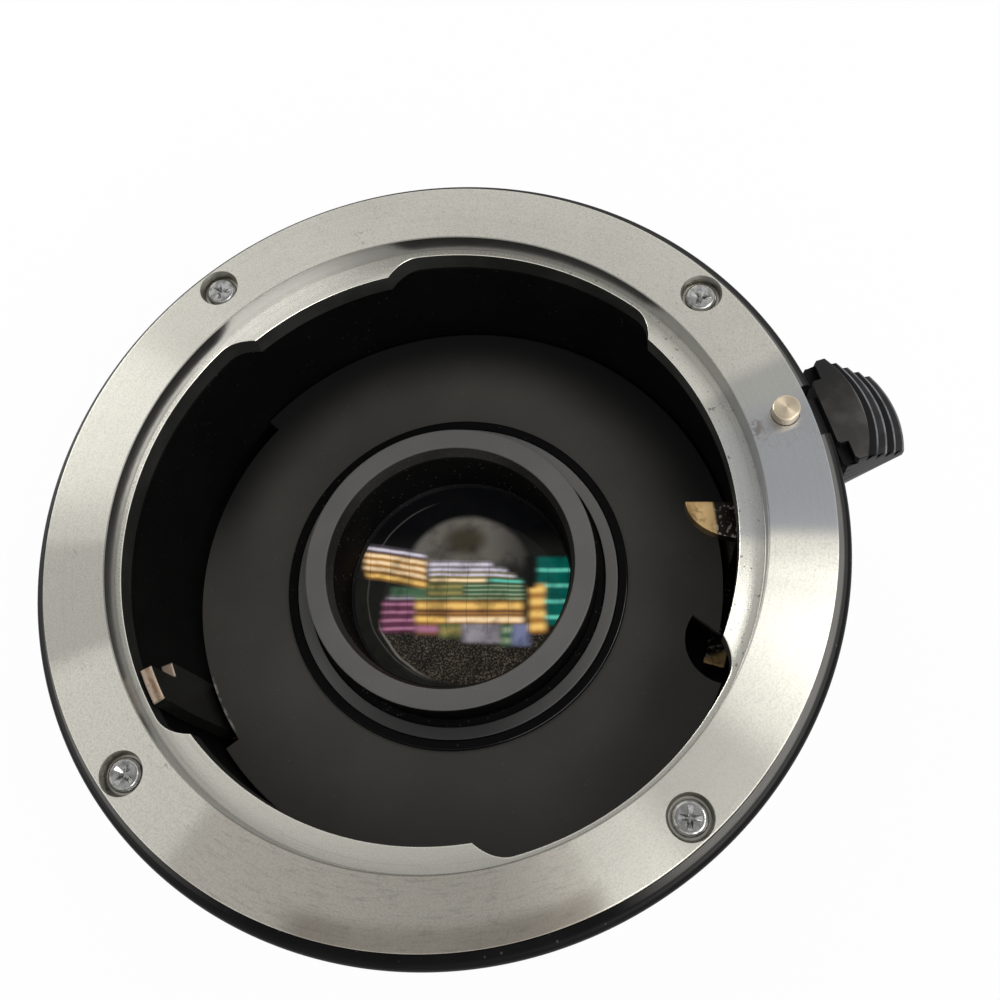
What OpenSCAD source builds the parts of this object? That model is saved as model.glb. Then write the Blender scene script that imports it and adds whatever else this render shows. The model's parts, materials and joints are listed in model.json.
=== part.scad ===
// Two-times camera teleconverter with a three-lug bayonet at each end.
// +Z runs along the optical axis from the camera to the lens. The origin is the centre of the
// rear mounting face, and +X runs through the lock pin and its release slide.

/* [Body] */
// Distance between the rear and front mounting faces
mount_gap = 38; // [37.5:0.5:50]
// Outer diameter of the body
body_d = 64.4; // [64:0.1:70]
// Width of the body's lip around the mounting faces
lip_w = 1.2; // [0.8:0.1:1.6]
// Step from the front mounting face down to the body's lip
lip_drop = 1; // [0.6:0.1:1.5]
// Step from the rear mounting face up to the body's rear edge
rear_lip = 0.8; // [0.5:0.1:1.5]
// Bevel on the outer edges
bevel = 0.3; // [0.1:0.05:0.4]
// Distance from the body's rear edge to the first grip groove
grip_start = 5; // [4:0.5:7]
// Number of turned grooves around the grip
grip_grooves = 6; // [1:1:8]
// Distance from one grip groove to the next
grip_pitch = 2.4; // [2:0.1:2.6]
// Width of a grip groove
groove_w = 1.2; // [0.8:0.1:1.6]
// Depth of a grip groove
groove_h = 0.5; // [0.3:0.1:0.8]

/* [Front mount] */
// Width of the chromed mounting face
face_w = 5.05; // [4.8:0.05:5.3]
// Thickness of the plate that carries the mounting face
flange_t = 2.2; // [2:0.1:2.8]
// Depth of the round step that centres the lens
register_h = 2; // [1.6:0.1:2.4]
// Distance from that step in to the wall of the cavity behind the lugs
cavity_step = 0.45; // [0.3:0.05:0.6]
// Distance from that step in to the tips of the lugs
lug_w = 1.95; // [1.7:0.05:2.2]
// Thickness of the lugs
lug_t = 2; // [1.6:0.1:2.4]
// Width of the body's seat under the mounting face
seat_w = 3.5; // [3.3:0.1:4]
// First and last angle of the wide lug beside the lock pin
lug_side = [-38, 26.5]; // [-50:0.5:40]
// First and last angle of the short lug
lug_short = [85, 116]; // [70:0.5:120]
// First and last angle of the third lug
lug_third = [205.5, 263]; // [190:0.5:290]
// Angle that a lug's end leans from its root to its tip
lug_lean = 4.5; // [0:0.5:6]
// Rounding where a lug's end meets the ring
lug_round = 0.9; // [0.4:0.1:1.2]
// Thickness of the leaf springs behind the lugs
leaf_t = 0.25; // [0.2:0.05:0.4]

/* [Mount screws] */
// Distance from the mounting faces' edge in to the screws
screw_inset = 1.7; // [1.6:0.1:2]
// Number of screws in each mount
screws_n = 4; // [3:1:5]
// Angle of the first front screw
front_screw_angle = 24.8; // [20:0.1:30]
// Angle of the first rear screw
rear_screw_angle = 45; // [30:1:60]
// Diameter of a screw head
head_d = 2.9; // [2.4:0.1:3]
// Height of a screw head
head_h = 0.75; // [0.6:0.05:1]
// Diameter of a screw thread
thread_d = 1.6; // [1.4:0.1:1.7]
// Length of a screw below its head
screw_l = 5; // [4:0.5:7]

/* [Lock] */
// Distance from the mounting faces' edge in to the lock pin
lock_inset = 2; // [1.8:0.1:2.2]
// Diameter of the lock pin
pin_d = 2.1; // [1.8:0.1:2.4]
// Height of the lock pin above the mounting face
pin_proud = 1.1; // [0.8:0.1:1.3]
// Travel of the release slide
pin_travel = 1.4; // [1.2:0.1:1.6]
// Diameter of the pin's collar
collar_d = 3; // [2.8:0.1:3.4]
// Diameter of the pin's lower shank
shank_d = 1.2; // [1:0.1:1.4]
// Thickness of the link between pin and slide
link_t = 1; // [0.8:0.1:1.2]
// Width of that link
link_w = 3.8; // [3.4:0.1:4.4]
// Length of the lock spring at rest
spring_l = 4.2; // [4:0.1:5]
// Turns of the lock spring
spring_turns = 4.5; // [4:0.5:5]
// Wire diameter of the springs
wire_d = 0.32; // [0.25:0.01:0.4]

/* [Release slide] */
// Width of the slide's front plate
slide_w = 9.1; // [8:0.1:10]
// Step from the mounting face down to the slide's front plate
slide_drop = 2.2; // [1.8:0.1:2.6]
// Gap between slide and body
slide_gap = 0.4; // [0.3:0.05:0.8]
// Reach of the front plate from its inner edge to its bowed outer edge
slide_plate = 3; // [2.6:0.1:3.6]
// Number of ribs behind the front plate
slide_ribs = 4; // [3:1:5]
// How far each rib stands out beyond the one before
rib_out = 0.95; // [0.7:0.05:1.2]
// Height of a rib
rib_h = 1; // [0.8:0.1:1.2]
// How much each rib is narrower at each end
rib_in = 0.24; // [0.1:0.02:0.3]
// Radius of the bow of the ribs
rib_bow = 9; // [7:0.5:14]
// Width of the tongue on the slide's inner edge
tongue_w = 5.7; // [5:0.1:6.4]
// Length of that tongue
tongue_l = 0.8; // [0.5:0.1:1]
// Height of the slope under the last rib
slide_slope = 1.3; // [0.8:0.1:2]

/* [Baffle] */
// Depth of the cavity floor below the mounting face
floor_depth = 15.4; // [14.6:0.1:16]
// Thickness of the floor
baffle_t = 0.8; // [0.6:0.1:1]
// First and last angle of the aperture lever's slot
aperture_slot = [123, 201]; // [110:1:215]
// First and last angle of the stop-down lever's slot
stop_slot = [327, 354]; // [315:1:360]
// Radius of the half-round end of the stop-down slot
slot_eye_r = 3.8; // [3:0.1:4.2]
// Angle between the straight side of that end and the line to the axis
slot_eye_lean = 24; // [15:1:30]
// Width of the gloss ring on the floor around the lens cell
gloss_w = 0.9; // [0.6:0.1:1.4]

/* [Lens cell] */
// Depth of the cell's rim below the mounting face
rim_depth = 10.9; // [10:0.1:11.6]
// Outer diameter of the cell
cell_d = 25.6; // [25:0.1:26]
// Width of the cell's flat rim
rim_w = 1.8; // [1.5:0.1:2.1]
// Thickness of the cell's wall around the glass
cell_wall = 2.6; // [2.4:0.1:2.8]
// Width of the ledges that the glass rests on
glass_ledge = 1.1; // [0.9:0.1:1.4]
// Width of the collar that clamps the floor
collar_ring_w = 1.8; // [1.5:0.1:2.2]
// Thickness of that collar
collar_ring_t = 0.5; // [0.4:0.1:0.9]
// Thickness of the sleeve that the control rings turn on
sleeve_wall = 2.5; // [2:0.1:3]

/* [Optics] */
// Depth of the front retaining ring below the cell's rim
ring_inset = 8; // [6:0.1:9]
// The heights below fill the cell behind that in these proportions: first the front retaining ring
front_ring_h = 1.6; // [1.2:0.1:2]
// Edge thickness of the front element
front_edge = 2.6; // [2:0.1:3.2]
// Edge thickness of the second element
second_edge = 1.8; // [1.6:0.1:2.4]
// Edge thickness of the third element
third_edge = 2.8; // [2.4:0.1:3.4]
// Edge thickness of the fourth element
fourth_edge = 1.4; // [1.2:0.1:1.8]
// Edge thickness of the rear element
rear_edge = 1.1; // [0.9:0.1:1.4]
// Height of the spacer behind the front element
front_spacer_h = 1.4; // [1.2:0.1:2]
// Height of the spacer behind the second element
middle_spacer_h = 0.9; // [0.8:0.1:1.2]
// Height of the spacer behind the third element
rear_spacer_h = 0.7; // [0.6:0.1:1]
// Thickness of the seat between the fourth and the rear element
cell_seat_t = 0.6; // [0.5:0.1:0.8]
// Height of the rear retaining ring
rear_ring_h = 0.7; // [0.6:0.1:1]
// Bulge of the front element's front and rear face, negative where it is hollow
front_sags = [1.2, -0.5]; // [-0.6:0.1:1.4]
// Bulge of the second element's faces
second_sags = [-0.5, -0.4]; // [-0.6:0.1:-0.2]
// Bulge of the third element's faces
third_sags = [0.6, 0.5]; // [0.2:0.1:0.7]
// Bulge of the fourth element's faces
fourth_sags = [-0.4, -0.3]; // [-0.5:0.1:-0.2]
// Bulge of the rear element's faces
rear_sags = [0.4, 0.5]; // [0.2:0.1:0.5]

/* [Control rings] */
// Thickness of a control ring
ring_t = 1; // [0.8:0.1:1.2]
// Width of a control ring
ring_w = 2.6; // [2:0.1:3]
// Thickness of the levers
lever_t = 1.05; // [0.9:0.05:1.2]
// Height of the keeper above the upper ring
keeper_h = 1.9; // [1.7:0.1:2.4]
// Height of the spacer between the rings
spacer_h = 2.6; // [2.4:0.1:3.2]
// First and last angle of the aperture lever
aperture_lever = [186, 197.5]; // [180:0.5:199]
// First and last angle of its upright bar
aperture_bar = [189.5, 196.5]; // [187:0.5:197]
// Depth of the aperture lever's shoulder below the mounting face
aperture_shoulder = 7.5; // [6:0.5:9]
// Depth of its bar below the mounting face
aperture_bar_depth = 2.4; // [2.2:0.1:4]
// Reach of the aperture tab behind the rear mounting face
aperture_tab = 3.5; // [2.5:0.1:4]
// First and last angle of the stop-down lever
stop_lever = [345, 352]; // [343:0.5:353]
// Angle by which the stop-down lever's foot is wider at each side
stop_foot_side = 3; // [2.5:0.5:3.5]
// Depth of the stop-down lever's horn below the mounting face
horn_depth = 6.5; // [5.5:0.1:7.5]
// Thickness of the horn
horn_t = 1.2; // [0.8:0.1:1.4]
// Length of the horn
horn_l = 4.6; // [3.8:0.1:5.6]
// Width of the horn where it leaves the wall
horn_w = 3.2; // [2.6:0.1:4]
// Angle between the horn's straight side and the line from its tip to the axis
horn_lean = 11.5; // [8:0.5:15]
// Width of the stop-down lever's finger under the round end of its slot
finger_w = 2.1; // [1.5:0.1:2.5]
// How far the stop-down tab ends short of the rear spigot's end
stop_tab_inset = 0.4; // [0.2:0.1:1]
// Turns of a return spring
return_turns = 18; // [12:1:20]
// Diameter of a return spring
return_d = 1.6; // [1.4:0.1:1.8]
// Length of a return spring as an angle around the axis
return_arc = 80; // [70:1:90]

/* [Rear mount] */
// Thickness of the rear mount's plate
rear_t = 2.5; // [2.3:0.1:3]
// Play of the rear step in a mount like the front one
register_play = 0.1; // [0.05:0.05:0.2]
// Height of the rear step
rear_register_h = 1.8; // [1.5:0.1:1.9]
// Play of the rear spigot inside the lugs of such a mount
spigot_play = 0.15; // [0.1:0.05:0.3]
// Thickness of the rear spigot's wall
spigot_wall = 1.35; // [1.2:0.05:1.6]
// Length of the rear spigot behind the mounting face
spigot_l = 6; // [5.6:0.1:6.4]
// Play of the rear lugs in the cavity of such a mount
rear_lug_play = 0.2; // [0.1:0.05:0.4]
// Thickness of the rear lugs
rear_lug_t = 1.4; // [1.2:0.1:1.6]
// Distance from the mounting face to the rear lugs
rear_lug_drop = 4.2; // [4.1:0.1:4.4]
// Angle by which a rear lug is shorter than a front lug at each end
rear_lug_short = 3; // [2:0.5:5]
// Diameter of the hole for the camera's lock pin
lock_hole_d = 2.5; // [2.3:0.1:2.8]
// Depth of that hole
lock_hole_h = 1.8; // [1.6:0.1:2.1]
// Thickness of the rear light mask
mask_t = 0.6; // [0.5:0.1:0.8]
// Width of the mask's window
mask_w = 24; // [22:0.5:26]
// Height of the mask's window
mask_h = 17; // [15:0.5:18]

/* [Hidden] */
$fn = 96;

// Clearances: a fixed fit, a running fit, an axial running gap and a free gap
fit = 0.05;
running = 0.08;
run_gap = 0.3;
free_gap = 0.35;
// Overshoot of a cut past the face that it opens
over = 1;
// Depth of a screw hole beyond the screw's end
hole_spare = 0.5;
// Cross recess of a screw: length, width and depth as shares of its head
cross_l = 0.66;
cross_w = 0.16;
cross_h = 0.6;
// Bevel on the top of a screw head
head_bevel = 0.15;

// Radii
body_r = body_d / 2;
flange_r = body_r - lip_w;
register_r = flange_r - face_w;
cavity_r = register_r - cavity_step;
throat_r = register_r - lug_w;
neck_r = flange_r - seat_w;
screw_r = flange_r - screw_inset;
lock_r = flange_r - lock_inset;
spigot_r = throat_r - spigot_play;
spigot_in = spigot_r - spigot_wall;
rear_register_r = register_r - register_play;
lever_out = cavity_r - run_gap;
lever_in = lever_out - lever_t;
slot_in = lever_in - free_gap;
chamber_step = 0.5;
chamber_r = cavity_r + chamber_step;
hole_wall = 0.5;
tube_bore_r = screw_r - thread_d / 2 - hole_wall;
cell_r = cell_d / 2;
sleeve_r = cell_r + sleeve_wall;
ring_r = sleeve_r + ring_w;
collar_ring_r = cell_r + collar_ring_w;
bore_r = cell_r - cell_wall;
glass_r = bore_r - fit;
clear_r = bore_r - glass_ledge;

// Heights of the front mount
face = mount_gap;
seat_z = face - flange_t;
lug_top = face - register_h;
lug_end = lug_top - lug_t;
lip_z = face - lip_drop;
lugs = [lug_side, lug_short, lug_third];
head_inset = 0.15;
pocket_h = head_h + head_inset;
neck_gap = 0.1;

// Heights of the floor, the control rings and the tube that they turn on
floor_top = face - floor_depth;
floor_z = floor_top - baffle_t;
chamber_top = floor_z - free_gap;
rivet_h = 0.4;
rivet_d = 1;
rivet_head_d = 1.6;
rivet_places = [0.28, 0.72];
rivet_inset = 1.95;
rivet_r = lever_in - rivet_inset;
aperture_top = floor_z - keeper_h - run_gap;
aperture_low = aperture_top - ring_t;
spacer_top = aperture_low - run_gap;
stop_top = spacer_top - spacer_h - run_gap;
stop_low = stop_top - ring_t;
tube_top = stop_low - lever_t - rivet_h - run_gap;
tube_t = 1.5;
tube_low = tube_top - tube_t;
stub_wall = 2;
stub_l = 4;
ring_edge = 1;
keeper_r = ring_r - ring_edge;
foot_in = keeper_r + 2 * run_gap;
tab_inset = 4.75;
stop_tab_in = lever_in - tab_inset;
tab_room = [-4, 3];
tab_side = 1;
horn_turn = 1.6;
eye_out = 1;
eye_turn = 2.5;
finger_lap = 1;

// Screws of the inner tube
tube_screws_n = 3;
tube_screw_angle = 30;
tube_ledge = tube_bore_r - chamber_r;
tube_screw_r = chamber_r + tube_ledge / 2;
tube_thread_d = 0.6 * tube_ledge;
tube_head_d = 0.9 * tube_ledge;
tube_head_h = 0.7;
tube_screw_l = 4.5;

// Heights of the glass: the stack fills the cell from its retaining ring down to its rear end
rim_z = face - rim_depth;
mask_gap = 0.4;
cell_low = rear_t + mask_t + mask_gap;
rim_slope = 1.3;
ring_top = rim_z - ring_inset;
ring_step = 0.35;
stack = [front_ring_h, front_edge, front_spacer_h, second_edge, middle_spacer_h, third_edge, rear_spacer_h,
    fourth_edge, cell_seat_t, rear_edge, rear_ring_h];
stack_scale = (ring_top - cell_low) / total(stack, len(stack));
front_top = stack_z(1);
front_low = stack_z(2);
second_top = stack_z(3);
second_low = stack_z(4);
third_top = stack_z(5);
third_low = stack_z(6);
fourth_top = stack_z(7);
fourth_low = stack_z(8);
rear_top = stack_z(9);
rear_low = stack_z(10);
front_ring_step = (ring_top - front_top) / 3;

// Lock pin, link and release slide
collar_h = 1.05;
collar_gap = 0.15;
collar_top = seat_z - collar_gap;
link_top = collar_top - collar_h;
link_low = link_top - link_t;
well_z = link_low - spring_l;
well_in = lock_r - collar_d / 2 - free_gap;
well_w = link_w + 2 * run_gap;
guide_l = 3.4;
slide_in = body_r + slide_gap;
slide_top = face - slide_drop;
slide_low = slide_top - (slide_ribs + 1) * rib_h;
link_grip = 2;
link_end = slide_in + link_grip;

// Return springs: each runs on an arc from a post on its ring to a post on the tube
post_d = 1;
post_r = ring_r + return_d / 2 + free_gap + run_gap;
post_turn = 4;
aperture_post = aperture_lever[1] + post_turn;
stop_foot = stop_lever + stop_foot_side * [-1, 1];
stop_post = stop_foot[1] + post_turn;
return_z = (aperture_low + stop_top) / 2;
wire_r = wire_d / 2;
wire_sides = 6;
curl_rings = 8;
// Direction that no spring wire runs along
wire_across = [0.31, 0.17, 0.94];

// Sum of the first n values of a list
function total(list, n) = n == 0 ? 0 : list[n - 1] + total(list, n - 1);

// Height of the lower end of the nth part of the stack in the cell
function stack_z(n) = ring_top - stack_scale * total(stack, n);

// Solid ring between two heights
module ring(r_out, r_in, z0, z1) {
    difference() {
        translate([0, 0, z0]) cylinder(r = r_out, h = z1 - z0);
        translate([0, 0, z0 - over]) cylinder(r = r_in, h = z1 - z0 + 2 * over);
    }
}

// Part of a ring between two angles
module sector(r_in, r_out, a, z0, z1) {
    rotate([0, 0, a[0]])
        rotate_extrude(angle = a[1] - a[0])
            translate([r_in, z0]) square([r_out - r_in, z1 - z0]);
}

// Round bar at a radius and an angle
module peg(r, a, d, z0, z1) {
    rotate([0, 0, a]) translate([r, 0, z0]) cylinder(d = d, h = z1 - z0);
}

// Box from its two corners
module block(low, high) {
    translate(low) cube(high - low);
}

// Cap of a sphere that stands on a disc of radius r and rises by sag
module cap(r, sag, z) {
    ball = (r * r + sag * sag) / (2 * sag);
    rotate_extrude() intersection() {
        translate([0, z + sag - ball]) circle(r = ball, $fn = 720);
        translate([0, z]) square([r, 2 * sag]);
    }
}

// Round glass: its edge runs from low to top, and a face bulges by its sag, inwards where that is negative
module glass(low, top, sags) {
    top_sag = sags[0] * stack_scale;
    low_sag = sags[1] * stack_scale;
    difference() {
        union() {
            translate([0, 0, low]) cylinder(r = glass_r, h = top - low);
            if (top_sag > 0) cap(clear_r, top_sag, top);
            if (low_sag > 0) mirror([0, 0, 1]) cap(clear_r, low_sag, -low);
        }
        if (top_sag < 0) mirror([0, 0, 1]) cap(clear_r, -top_sag, -top);
        if (low_sag < 0) cap(clear_r, -low_sag, low);
    }
}

// Spacer or retaining ring inside the cell
module cell_ring(low, top) {
    ring(glass_r, clear_r, low, top);
}

// Flat-headed machine screw with a cross recess, head up, its head top at z = 0
module screw(head, high, thread, length) {
    half = [head * cross_l / 2, head * cross_w / 2, high * cross_h];
    difference() {
        union() {
            translate([0, 0, -high]) cylinder(d = head, h = high - head_bevel);
            translate([0, 0, -head_bevel])
                cylinder(d1 = head, d2 = head - 2 * head_bevel, h = head_bevel);
            translate([0, 0, -high - length]) cylinder(d = thread, h = length + high / 2);
        }
        for (turn = [0, 90])
            rotate([0, 0, turn]) block(-half, [half[0], half[1], over]);
    }
}

// Ring of copies around the axis
module around(n, first, r) {
    for (i = [0 : n - 1])
        rotate([0, 0, first + i * 360 / n]) translate([r, 0, 0]) children();
}

// Point of a screw spring along Z
function coil_point(t, turns, r, l) = [r * cos(360 * turns * t), r * sin(360 * turns * t), l * t];

// Point of a screw spring whose axis is an arc of radius arc_r around Z
function arc_point(t, turns, r, arc_r, a, z) =
    let (s = a[0] + (a[1] - a[0]) * t, q = arc_r + r * cos(360 * turns * t))
    [q * cos(s), q * sin(s), z + r * sin(360 * turns * t)];

function unit(v) = v / norm(v);

// Least distance between points of a path that are more than half a turn apart along it
function least_gap(path, apart) =
    let (last = len(path) - 1)
    min([for (i = [0 : last - apart]) for (j = [i + apart : last]) norm(path[i] - path[j])]);

// Round wire along a path, as one closed tube
module wire(path, r) {
    n = len(path);
    along = [for (i = [0 : n - 1]) unit(path[min(i + 1, n - 1)] - path[max(i - 1, 0)])];
    side = [for (i = [0 : n - 1]) unit(cross(along[i], wire_across))];
    rings = [for (i = [0 : n - 1])
        let (up = cross(along[i], side[i]))
        for (k = [0 : wire_sides - 1])
            path[i] + r * (cos(360 * k / wire_sides) * side[i] + sin(360 * k / wire_sides) * up)];
    walls = [for (i = [0 : n - 2]) for (k = [0 : wire_sides - 1])
        let (a = i * wire_sides + k, b = i * wire_sides + (k + 1) % wire_sides)
        each [[a, b, a + wire_sides], [b, b + wire_sides, a + wire_sides]]];
    last = (n - 1) * wire_sides;
    ends = [for (k = [1 : wire_sides - 2]) each [[0, k + 1, k], [last, last + k, last + k + 1]]];
    polyhedron(points = rings, faces = concat(walls, ends));
}

// Outline of the gap between two lugs: straight leaning ends, and a round corner at each root
module lug_gap_shape(from, to) {
    side_a = [from + lug_lean, from];
    side_b = [to - lug_lean, to];
    inner = throat_r - over;
    corner_r = cavity_r - lug_round;
    turn = asin(lug_round / corner_r);
    lean_in = lug_lean * over / (cavity_r - throat_r);
    intersection() {
        circle(r = corner_r);
        polygon([inner * [cos(side_a[1] - lean_in), sin(side_a[1] - lean_in)],
            cavity_r * [cos(side_a[0]), sin(side_a[0])],
            2 * cavity_r * [cos((from + to) / 2), sin((from + to) / 2)],
            cavity_r * [cos(side_b[0]), sin(side_b[0])],
            inner * [cos(side_b[1] + lean_in), sin(side_b[1] + lean_in)]]);
    }
    intersection() {
        circle(r = cavity_r);
        polygon([[0, 0],
            2 * cavity_r * [cos(side_a[0] + turn), sin(side_a[0] + turn)],
            2 * cavity_r * [cos((from + to) / 2), sin((from + to) / 2)],
            2 * cavity_r * [cos(side_b[0] - turn), sin(side_b[0] - turn)]]);
    }
    for (a = [side_a[0] + turn, side_b[0] - turn])
        translate(corner_r * [cos(a), sin(a)]) circle(r = lug_round);
}

// Black outer body, with the lock's well in its front collar
module body_shell() {
    color("#1a1a1b")
    difference() {
        rotate_extrude() polygon([
            [flange_r + fit, seat_z], [neck_r + fit, seat_z], [neck_r + fit, lug_end - neck_gap],
            [cavity_r, lug_end - neck_gap], [cavity_r, chamber_top], [chamber_r, chamber_top],
            [chamber_r, tube_top], [tube_bore_r, tube_top], [tube_bore_r, rear_t],
            [flange_r + fit, rear_t], [flange_r + fit, rear_lip], [body_r - bevel, rear_lip],
            [body_r, rear_lip + bevel], [body_r, lip_z - bevel], [body_r - bevel, lip_z],
            [flange_r + fit, lip_z]]);
        for (i = [0 : grip_grooves - 1])
            rotate_extrude() translate([body_r, rear_lip + grip_start + i * grip_pitch])
                polygon([[over, groove_w / 2], [0, groove_w / 2], [-groove_h, groove_w / 4],
                    [-groove_h, -groove_w / 4], [0, -groove_w / 2], [over, -groove_w / 2]]);
        block([well_in, -well_w / 2, well_z], [body_r + over, well_w / 2, face]);
        peg(lock_r, 0, shank_d + 2 * running, well_z - guide_l, well_z + over);
        around(screws_n, front_screw_angle, screw_r)
            translate([0, 0, face - pocket_h - screw_l - hole_spare])
                cylinder(d = thread_d + 2 * fit, h = screw_l + over);
        around(screws_n, rear_screw_angle, screw_r)
            translate([0, 0, rear_t - over]) cylinder(d = thread_d + 2 * fit, h = screw_l + over);
        around(tube_screws_n, tube_screw_angle, tube_screw_r)
            translate([0, 0, tube_low])
                cylinder(d = tube_thread_d + 2 * fit, h = tube_screw_l + hole_spare);
    }
}

// Chromed front bayonet ring
module front_flange() {
    color("#c9c9c6")
    difference() {
        rotate_extrude() polygon([
            [throat_r, lug_end], [neck_r, lug_end], [neck_r, seat_z], [flange_r, seat_z],
            [flange_r, face - bevel], [flange_r - bevel, face], [register_r + bevel / 2, face],
            [register_r, face - bevel / 2], [register_r, lug_top], [throat_r + bevel / 2, lug_top],
            [throat_r, lug_top - bevel / 2]]);
        for (i = [0 : 2])
            translate([0, 0, lug_end - over])
                linear_extrude(height = lug_t + over + bevel)
                    lug_gap_shape(lugs[i][1], lugs[(i + 1) % 3][0] + (i == 2 ? 360 : 0));
        around(screws_n, front_screw_angle, screw_r) {
            translate([0, 0, face - pocket_h]) cylinder(d = head_d + 4 * fit, h = pocket_h + over);
            translate([0, 0, seat_z - over]) cylinder(d = thread_d + 4 * fit, h = flange_t + over);
        }
        peg(lock_r, 0, pin_d + 2 * running, seat_z - over, face + over);
    }
}

// Four cross-head screws in the front mount
module front_screws() {
    color("#b9b9b6")
    around(screws_n, front_screw_angle, screw_r)
        translate([0, 0, face - pocket_h + head_h]) screw(head_d, head_h, thread_d, screw_l);
}

// Leaf springs that press on the lugs of the attached lens
module lug_springs() {
    color("#8f8b84")
    for (lug = lugs)
        sector(throat_r + free_gap, cavity_r - free_gap, [lug[0] + lug_lean, lug[1] - lug_lean],
            lug_end - leaf_t, lug_end);
}

// Brass lock pin with the collar that the link bears on
module lock_pin() {
    color("#c9b083")
    translate([lock_r, 0, 0]) rotate_extrude() polygon([
        [0, well_z - guide_l + pin_travel + run_gap], [shank_d / 2, well_z - guide_l + pin_travel + run_gap],
        [shank_d / 2, link_top], [collar_d / 2, link_top], [collar_d / 2, collar_top],
        [pin_d / 2, collar_top], [pin_d / 2, face + pin_proud - bevel / 2],
        [pin_d / 2 - bevel / 2, face + pin_proud], [0, face + pin_proud]]);
}

// Coil spring under the link
module lock_spring() {
    r = shank_d / 2 + wire_r + run_gap;
    l = spring_l - wire_d - 2 * fit;
    steps = curl_rings * spring_turns;
    path = [for (i = [0 : steps]) coil_point(i / steps, spring_turns, r, l)];
    echo(lock_spring_least_gap = least_gap(path, curl_rings - 2) - wire_d);
    color("#a8a8a6") translate([lock_r, 0, well_z + wire_r + fit]) wire(path, wire_r);
}

// Steel link that joins the slide to the pin
module release_link() {
    color("#8c8c8a")
    difference() {
        block([lock_r - collar_d / 2, -link_w / 2, link_low], [link_end, link_w / 2, link_top]);
        peg(lock_r, 0, shank_d + 2 * fit, link_low - over, link_top + over);
    }
}

// One layer of the slide, cut off by the bow of its outer edge
module slide_layer(reach, half, inner, z0, z1) {
    translate([0, 0, z0]) linear_extrude(height = z1 - z0)
        intersection() {
            translate([slide_in + reach - rib_bow, 0]) circle(r = rib_bow);
            translate([inner, -half]) square([reach + over, 2 * half]);
        }
}

// Black release slide: a front plate with a tongue, ribs stepping outwards, and a sloped back
module release_slide() {
    half = slide_w / 2;
    last_reach = slide_plate + slide_ribs * rib_out;
    last_half = half - slide_ribs * rib_in;
    color("#17181a")
    difference() {
        union() {
            for (i = [0 : slide_ribs])
                slide_layer(slide_plate + i * rib_out, half - i * rib_in, slide_in + tongue_l,
                    slide_top - (i + 1) * rib_h, slide_top - i * rib_h);
            block([slide_in, -tongue_w / 2, slide_low],
                [slide_in + tongue_l + over, tongue_w / 2, slide_top]);
            intersection() {
                slide_layer(last_reach, last_half, slide_in + tongue_l, slide_low - slide_slope, slide_low);
                rotate([90, 0, 0]) linear_extrude(height = slide_w, center = true)
                    polygon([[slide_in, slide_low + over], [slide_in + last_reach, slide_low + over],
                        [slide_in + last_reach, slide_low],
                        [slide_in + 2 * tongue_l, slide_low - slide_slope],
                        [slide_in, slide_low - slide_slope]]);
            }
        }
        block([slide_in - over, -link_w / 2, link_low], [link_end, link_w / 2, link_top]);
    }
}

// Satin black floor of the front cavity, with the slots of the two levers
module floor_baffle() {
    cut = baffle_t + 2 * over;
    reach = slot_eye_r + over;
    color("#2c2a28")
    difference() {
        ring(cavity_r - run_gap, cell_r + fit, floor_z, floor_top);
        sector(slot_in, cavity_r + over, aperture_slot, floor_z - over, floor_top + over);
        sector(slot_in, cavity_r + over, stop_slot, floor_z - over, floor_top + over);
        rotate([0, 0, stop_slot[0] + eye_turn])
            translate([slot_in + eye_out, 0, floor_z - over])
                rotate([0, 0, -slot_eye_lean])
                    intersection() {
                        cylinder(r = slot_eye_r, h = cut);
                        block([-reach, -reach, -over], [reach, 0, cut + over]);
                    }
    }
}

// Gloss black ring around the foot of the lens cell
module gloss_ring() {
    inner = collar_ring_r + fit;
    outer = collar_ring_r + gloss_w;
    crown = (inner + outer) / 2;
    color("#0c0c0d")
    rotate_extrude() polygon([[inner, floor_top], [outer, floor_top],
        [outer, floor_top + collar_ring_t / 4], [crown, floor_top + collar_ring_t],
        [inner, floor_top + collar_ring_t]]);
}

// Tube that holds the glass, with a flat rim and a collar that clamps the floor
module lens_cell() {
    color("#55534f")
    rotate_extrude() polygon([
        [cell_r - rim_w, rim_z], [cell_r - bevel / 2, rim_z], [cell_r, rim_z - bevel / 2],
        [cell_r, floor_top + collar_ring_t], [collar_ring_r, floor_top + collar_ring_t],
        [collar_ring_r, floor_top], [cell_r, floor_top], [cell_r, cell_low],
        [bore_r, cell_low], [bore_r, rear_top], [clear_r, rear_top], [clear_r, fourth_low],
        [bore_r, fourth_low], [bore_r, rim_z - rim_slope]]);
}

// Threaded ring that holds the front element, stepped against stray light
module front_retaining_ring() {
    lip = front_top + front_ring_step;
    color("#101011")
    rotate_extrude() polygon([[clear_r, front_top], [glass_r, front_top], [glass_r, ring_top],
        [glass_r - ring_step, ring_top], [glass_r - ring_step, ring_top - front_ring_step],
        [clear_r + ring_step, lip], [clear_r, lip]]);
}

module front_element() { color([0.55, 0.7, 0.68, 0.5]) glass(front_low, front_top, front_sags); }
module second_element() { color([0.6, 0.7, 0.75, 0.5]) glass(second_low, second_top, second_sags); }
module third_element() { color([0.6, 0.72, 0.7, 0.5]) glass(third_low, third_top, third_sags); }
module fourth_element() { color([0.6, 0.7, 0.75, 0.5]) glass(fourth_low, fourth_top, fourth_sags); }
module rear_element() { color([0.55, 0.68, 0.72, 0.5]) glass(rear_low, rear_top, rear_sags); }

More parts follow.
